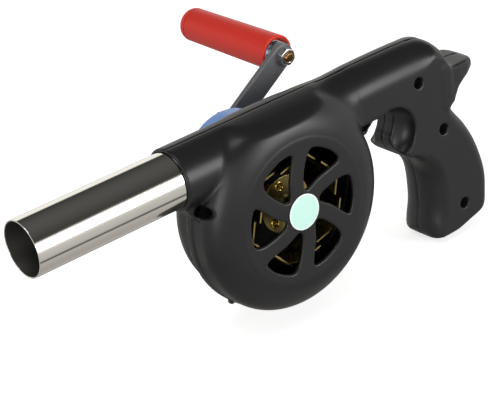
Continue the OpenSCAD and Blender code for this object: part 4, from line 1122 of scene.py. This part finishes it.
def set_camera(scene, size):
    """The photograph's view: its direction and roll, and the vented face off the frame's centre."""
    right, up, back = camera_frame(35.72, 27.01, -8.09)
    place = (Vector((139.5, -22.2, -34)) - 26.73 * right + 2.93 * up) * MM + back * size.distance
    camera = bpy.data.objects.new("camera", bpy.data.cameras.new("camera"))
    camera.matrix_world = Matrix((
        (right.x, up.x, back.x, place.x), (right.y, up.y, back.y, place.y),
        (right.z, up.z, back.z, place.z), (0, 0, 0, 1)))
    camera.data.sensor_width, camera.data.lens = 36, size.lens
    camera.data.clip_start, camera.data.clip_end = 0.01, 100
    scene.collection.objects.link(camera)
    scene.camera = camera


def lay_floor(scene, size):
    """Matt white paper that keeps the object's shadow."""
    mesh = bpy.data.meshes.new("floor")
    reach, drop = 12.0, -size.floor_drop
    corners = [(-reach, -reach, drop), (reach, -reach, drop), (reach, reach, drop), (-reach, reach, drop)]
    mesh.from_pydata(corners, [], [(0, 1, 2, 3)])
    floor = bpy.data.objects.new("floor", mesh)
    scene.collection.objects.link(floor)
    paper, tree, shader = blank("Matt white paper")
    path = add(tree, "ShaderNodeLightPath")
    lift = add(tree, "ShaderNodeMath", {0: path.outputs["Is Camera Ray"], 1: 0.66}, operation="MULTIPLY")
    feed(tree, shader, {"Base Color": (0.85, 0.85, 0.85, 1), "Roughness": 0.9, "Specular IOR Level": 0.1,
                        "Emission Color": (1, 1, 1, 1), "Emission Strength": lift.outputs[0]})
    mesh.materials.append(paper)
    # Gloss mirrors the studio's bands instead of the floor's own shade
    floor.visible_glossy = False


# What gloss and polish mirror, from straight below to straight above: a grey table, white walls up to
# lamp height and a dark ceiling, with the narrow dark lines that the tube shows
BANDS = [(0.13, 0.50), (0.155, 0.08), (0.17, 0.08), (0.195, 0.5), (0.38, 0.6), (0.50, 1.0), (0.70, 1.0),
         (0.735, 0.10), (0.76, 0.04)]


def light_world(scene, size):
    """Plain room light, the bands that gloss mirrors, and white behind everything."""
    world = bpy.data.worlds.new("studio")
    world.use_nodes = True
    tree = world.node_tree
    tree.nodes.clear()

    def glow(colour, strength):
        return add(tree, "ShaderNodeBackground", {"Color": colour, "Strength": strength}).outputs[0]

    ray = add(tree, "ShaderNodeLightPath").outputs
    aim = add(tree, "ShaderNodeSeparateXYZ", {"Vector": add(tree, "ShaderNodeTexCoord").outputs["Generated"]})
    height = add(tree, "ShaderNodeMapRange", {"Value": aim.outputs["Z"], "From Min": -1.0, "From Max": 1.0})
    bands = ramp(tree, height.outputs["Result"],
                 [(0.0, (0.34, 0.32, 0.30, 1)),
                  *[(spot, (value, value * 0.985, value * 0.95, 1)) for spot, value in BANDS],
                  (1.0, (0.10, 0.10, 0.10, 1))])
    plain = glow((1.0, 0.99, 0.97, 1), size.room_light)
    soft = add(tree, "ShaderNodeMixShader", {"Fac": ray["Is Glossy Ray"], 1: plain,
                                             2: glow(bands, size.wall_light)})
    mix = add(tree, "ShaderNodeMixShader", {"Fac": ray["Is Camera Ray"], 1: soft.outputs[0],
                                            2: glow((1, 1, 1, 1), 1.0)})
    add(tree, "ShaderNodeOutputWorld", {"Surface": mix.outputs[0]})
    scene.world = world
    scene.view_settings.view_transform = "Standard"


def lamp(scene, name, place, aim, width, power):
    data = bpy.data.lights.new(name, "AREA")
    data.shape, data.size, data.size_y, data.energy = "RECTANGLE", width, width, power
    obj = bpy.data.objects.new(name, data)
    obj.location = place
    obj.rotation_mode = "QUATERNION"
    obj.rotation_quaternion = (Vector(aim) - Vector(place)).to_track_quat("-Z", "Y")
    scene.collection.objects.link(obj)


class MakeStage(FanPiece, bpy.types.Operator):
    """Place the camera at the photograph's view, the pale floor and the soft lamps"""
    bl_idname = "fan.make_stage"
    bl_label = "Stage"

    def build(self, context):
        scene, size = context.scene, context.scene.fan_stage
        set_camera(scene, size)
        lay_floor(scene, size)
        light_world(scene, size)
        lamp(scene, "right_low", (0.57, -0.76, 0.14), (0.12, 0, -0.02), 0.4, 3.6)
        lamp(scene, "left_front", (-0.45, -0.65, 0.1), (0.12, 0, -0.02), 0.4, 1.9)
        lamp(scene, "top", (-0.25, -0.1, 1.1), (0.14, 0, 0), 0.6, 4.0)


PIECES = [MakeLeftShell, MakeRightShell, MakeTube, MakeDisc, MakeCover, MakeArm, MakeSpindle, MakeHandle,
          MakeScrews, MakeImpeller, FinishInnerWorks, MakeStage]


class FanPanel(bpy.types.Panel):
    """Lists the operators that build the fan and the sizes that they use"""
    bl_idname = "VIEW3D_PT_crank_fan"
    bl_label = "Hand Crank Fan"
    bl_space_type = "VIEW_3D"
    bl_region_type = "UI"
    bl_category = "Crank Fan"

    def draw(self, context):
        for kind in PIECES:
            self.layout.operator(kind.bl_idname)
        for holder in SETTINGS:
            box = self.layout.box()
            group = getattr(context.scene, holder)
            for key in group.__annotations__:
                box.prop(group, key)


SETTINGS = {"fan_housing": HousingSizes, "fan_metal": MetalSizes, "fan_handle": HandleSizes,
            "fan_finishes": Finishes, "fan_stage": StageSizes}


def register():
    for kind in [*SETTINGS.values(), *PIECES, FanPanel]:
        bpy.utils.register_class(kind)
    for name, group in SETTINGS.items():
        setattr(bpy.types.Scene, name, bpy.props.PointerProperty(type=group))


def unregister():
    for name in SETTINGS:
        delattr(bpy.types.Scene, name)
    for kind in [FanPanel, *PIECES[::-1], *list(SETTINGS.values())[::-1]]:
        bpy.utils.unregister_class(kind)


def main():
    register()
    for kind in PIECES:
        group, name = kind.bl_idname.split(".")
        getattr(getattr(bpy.ops, group), name)()


if __name__ == "__main__":
    main()
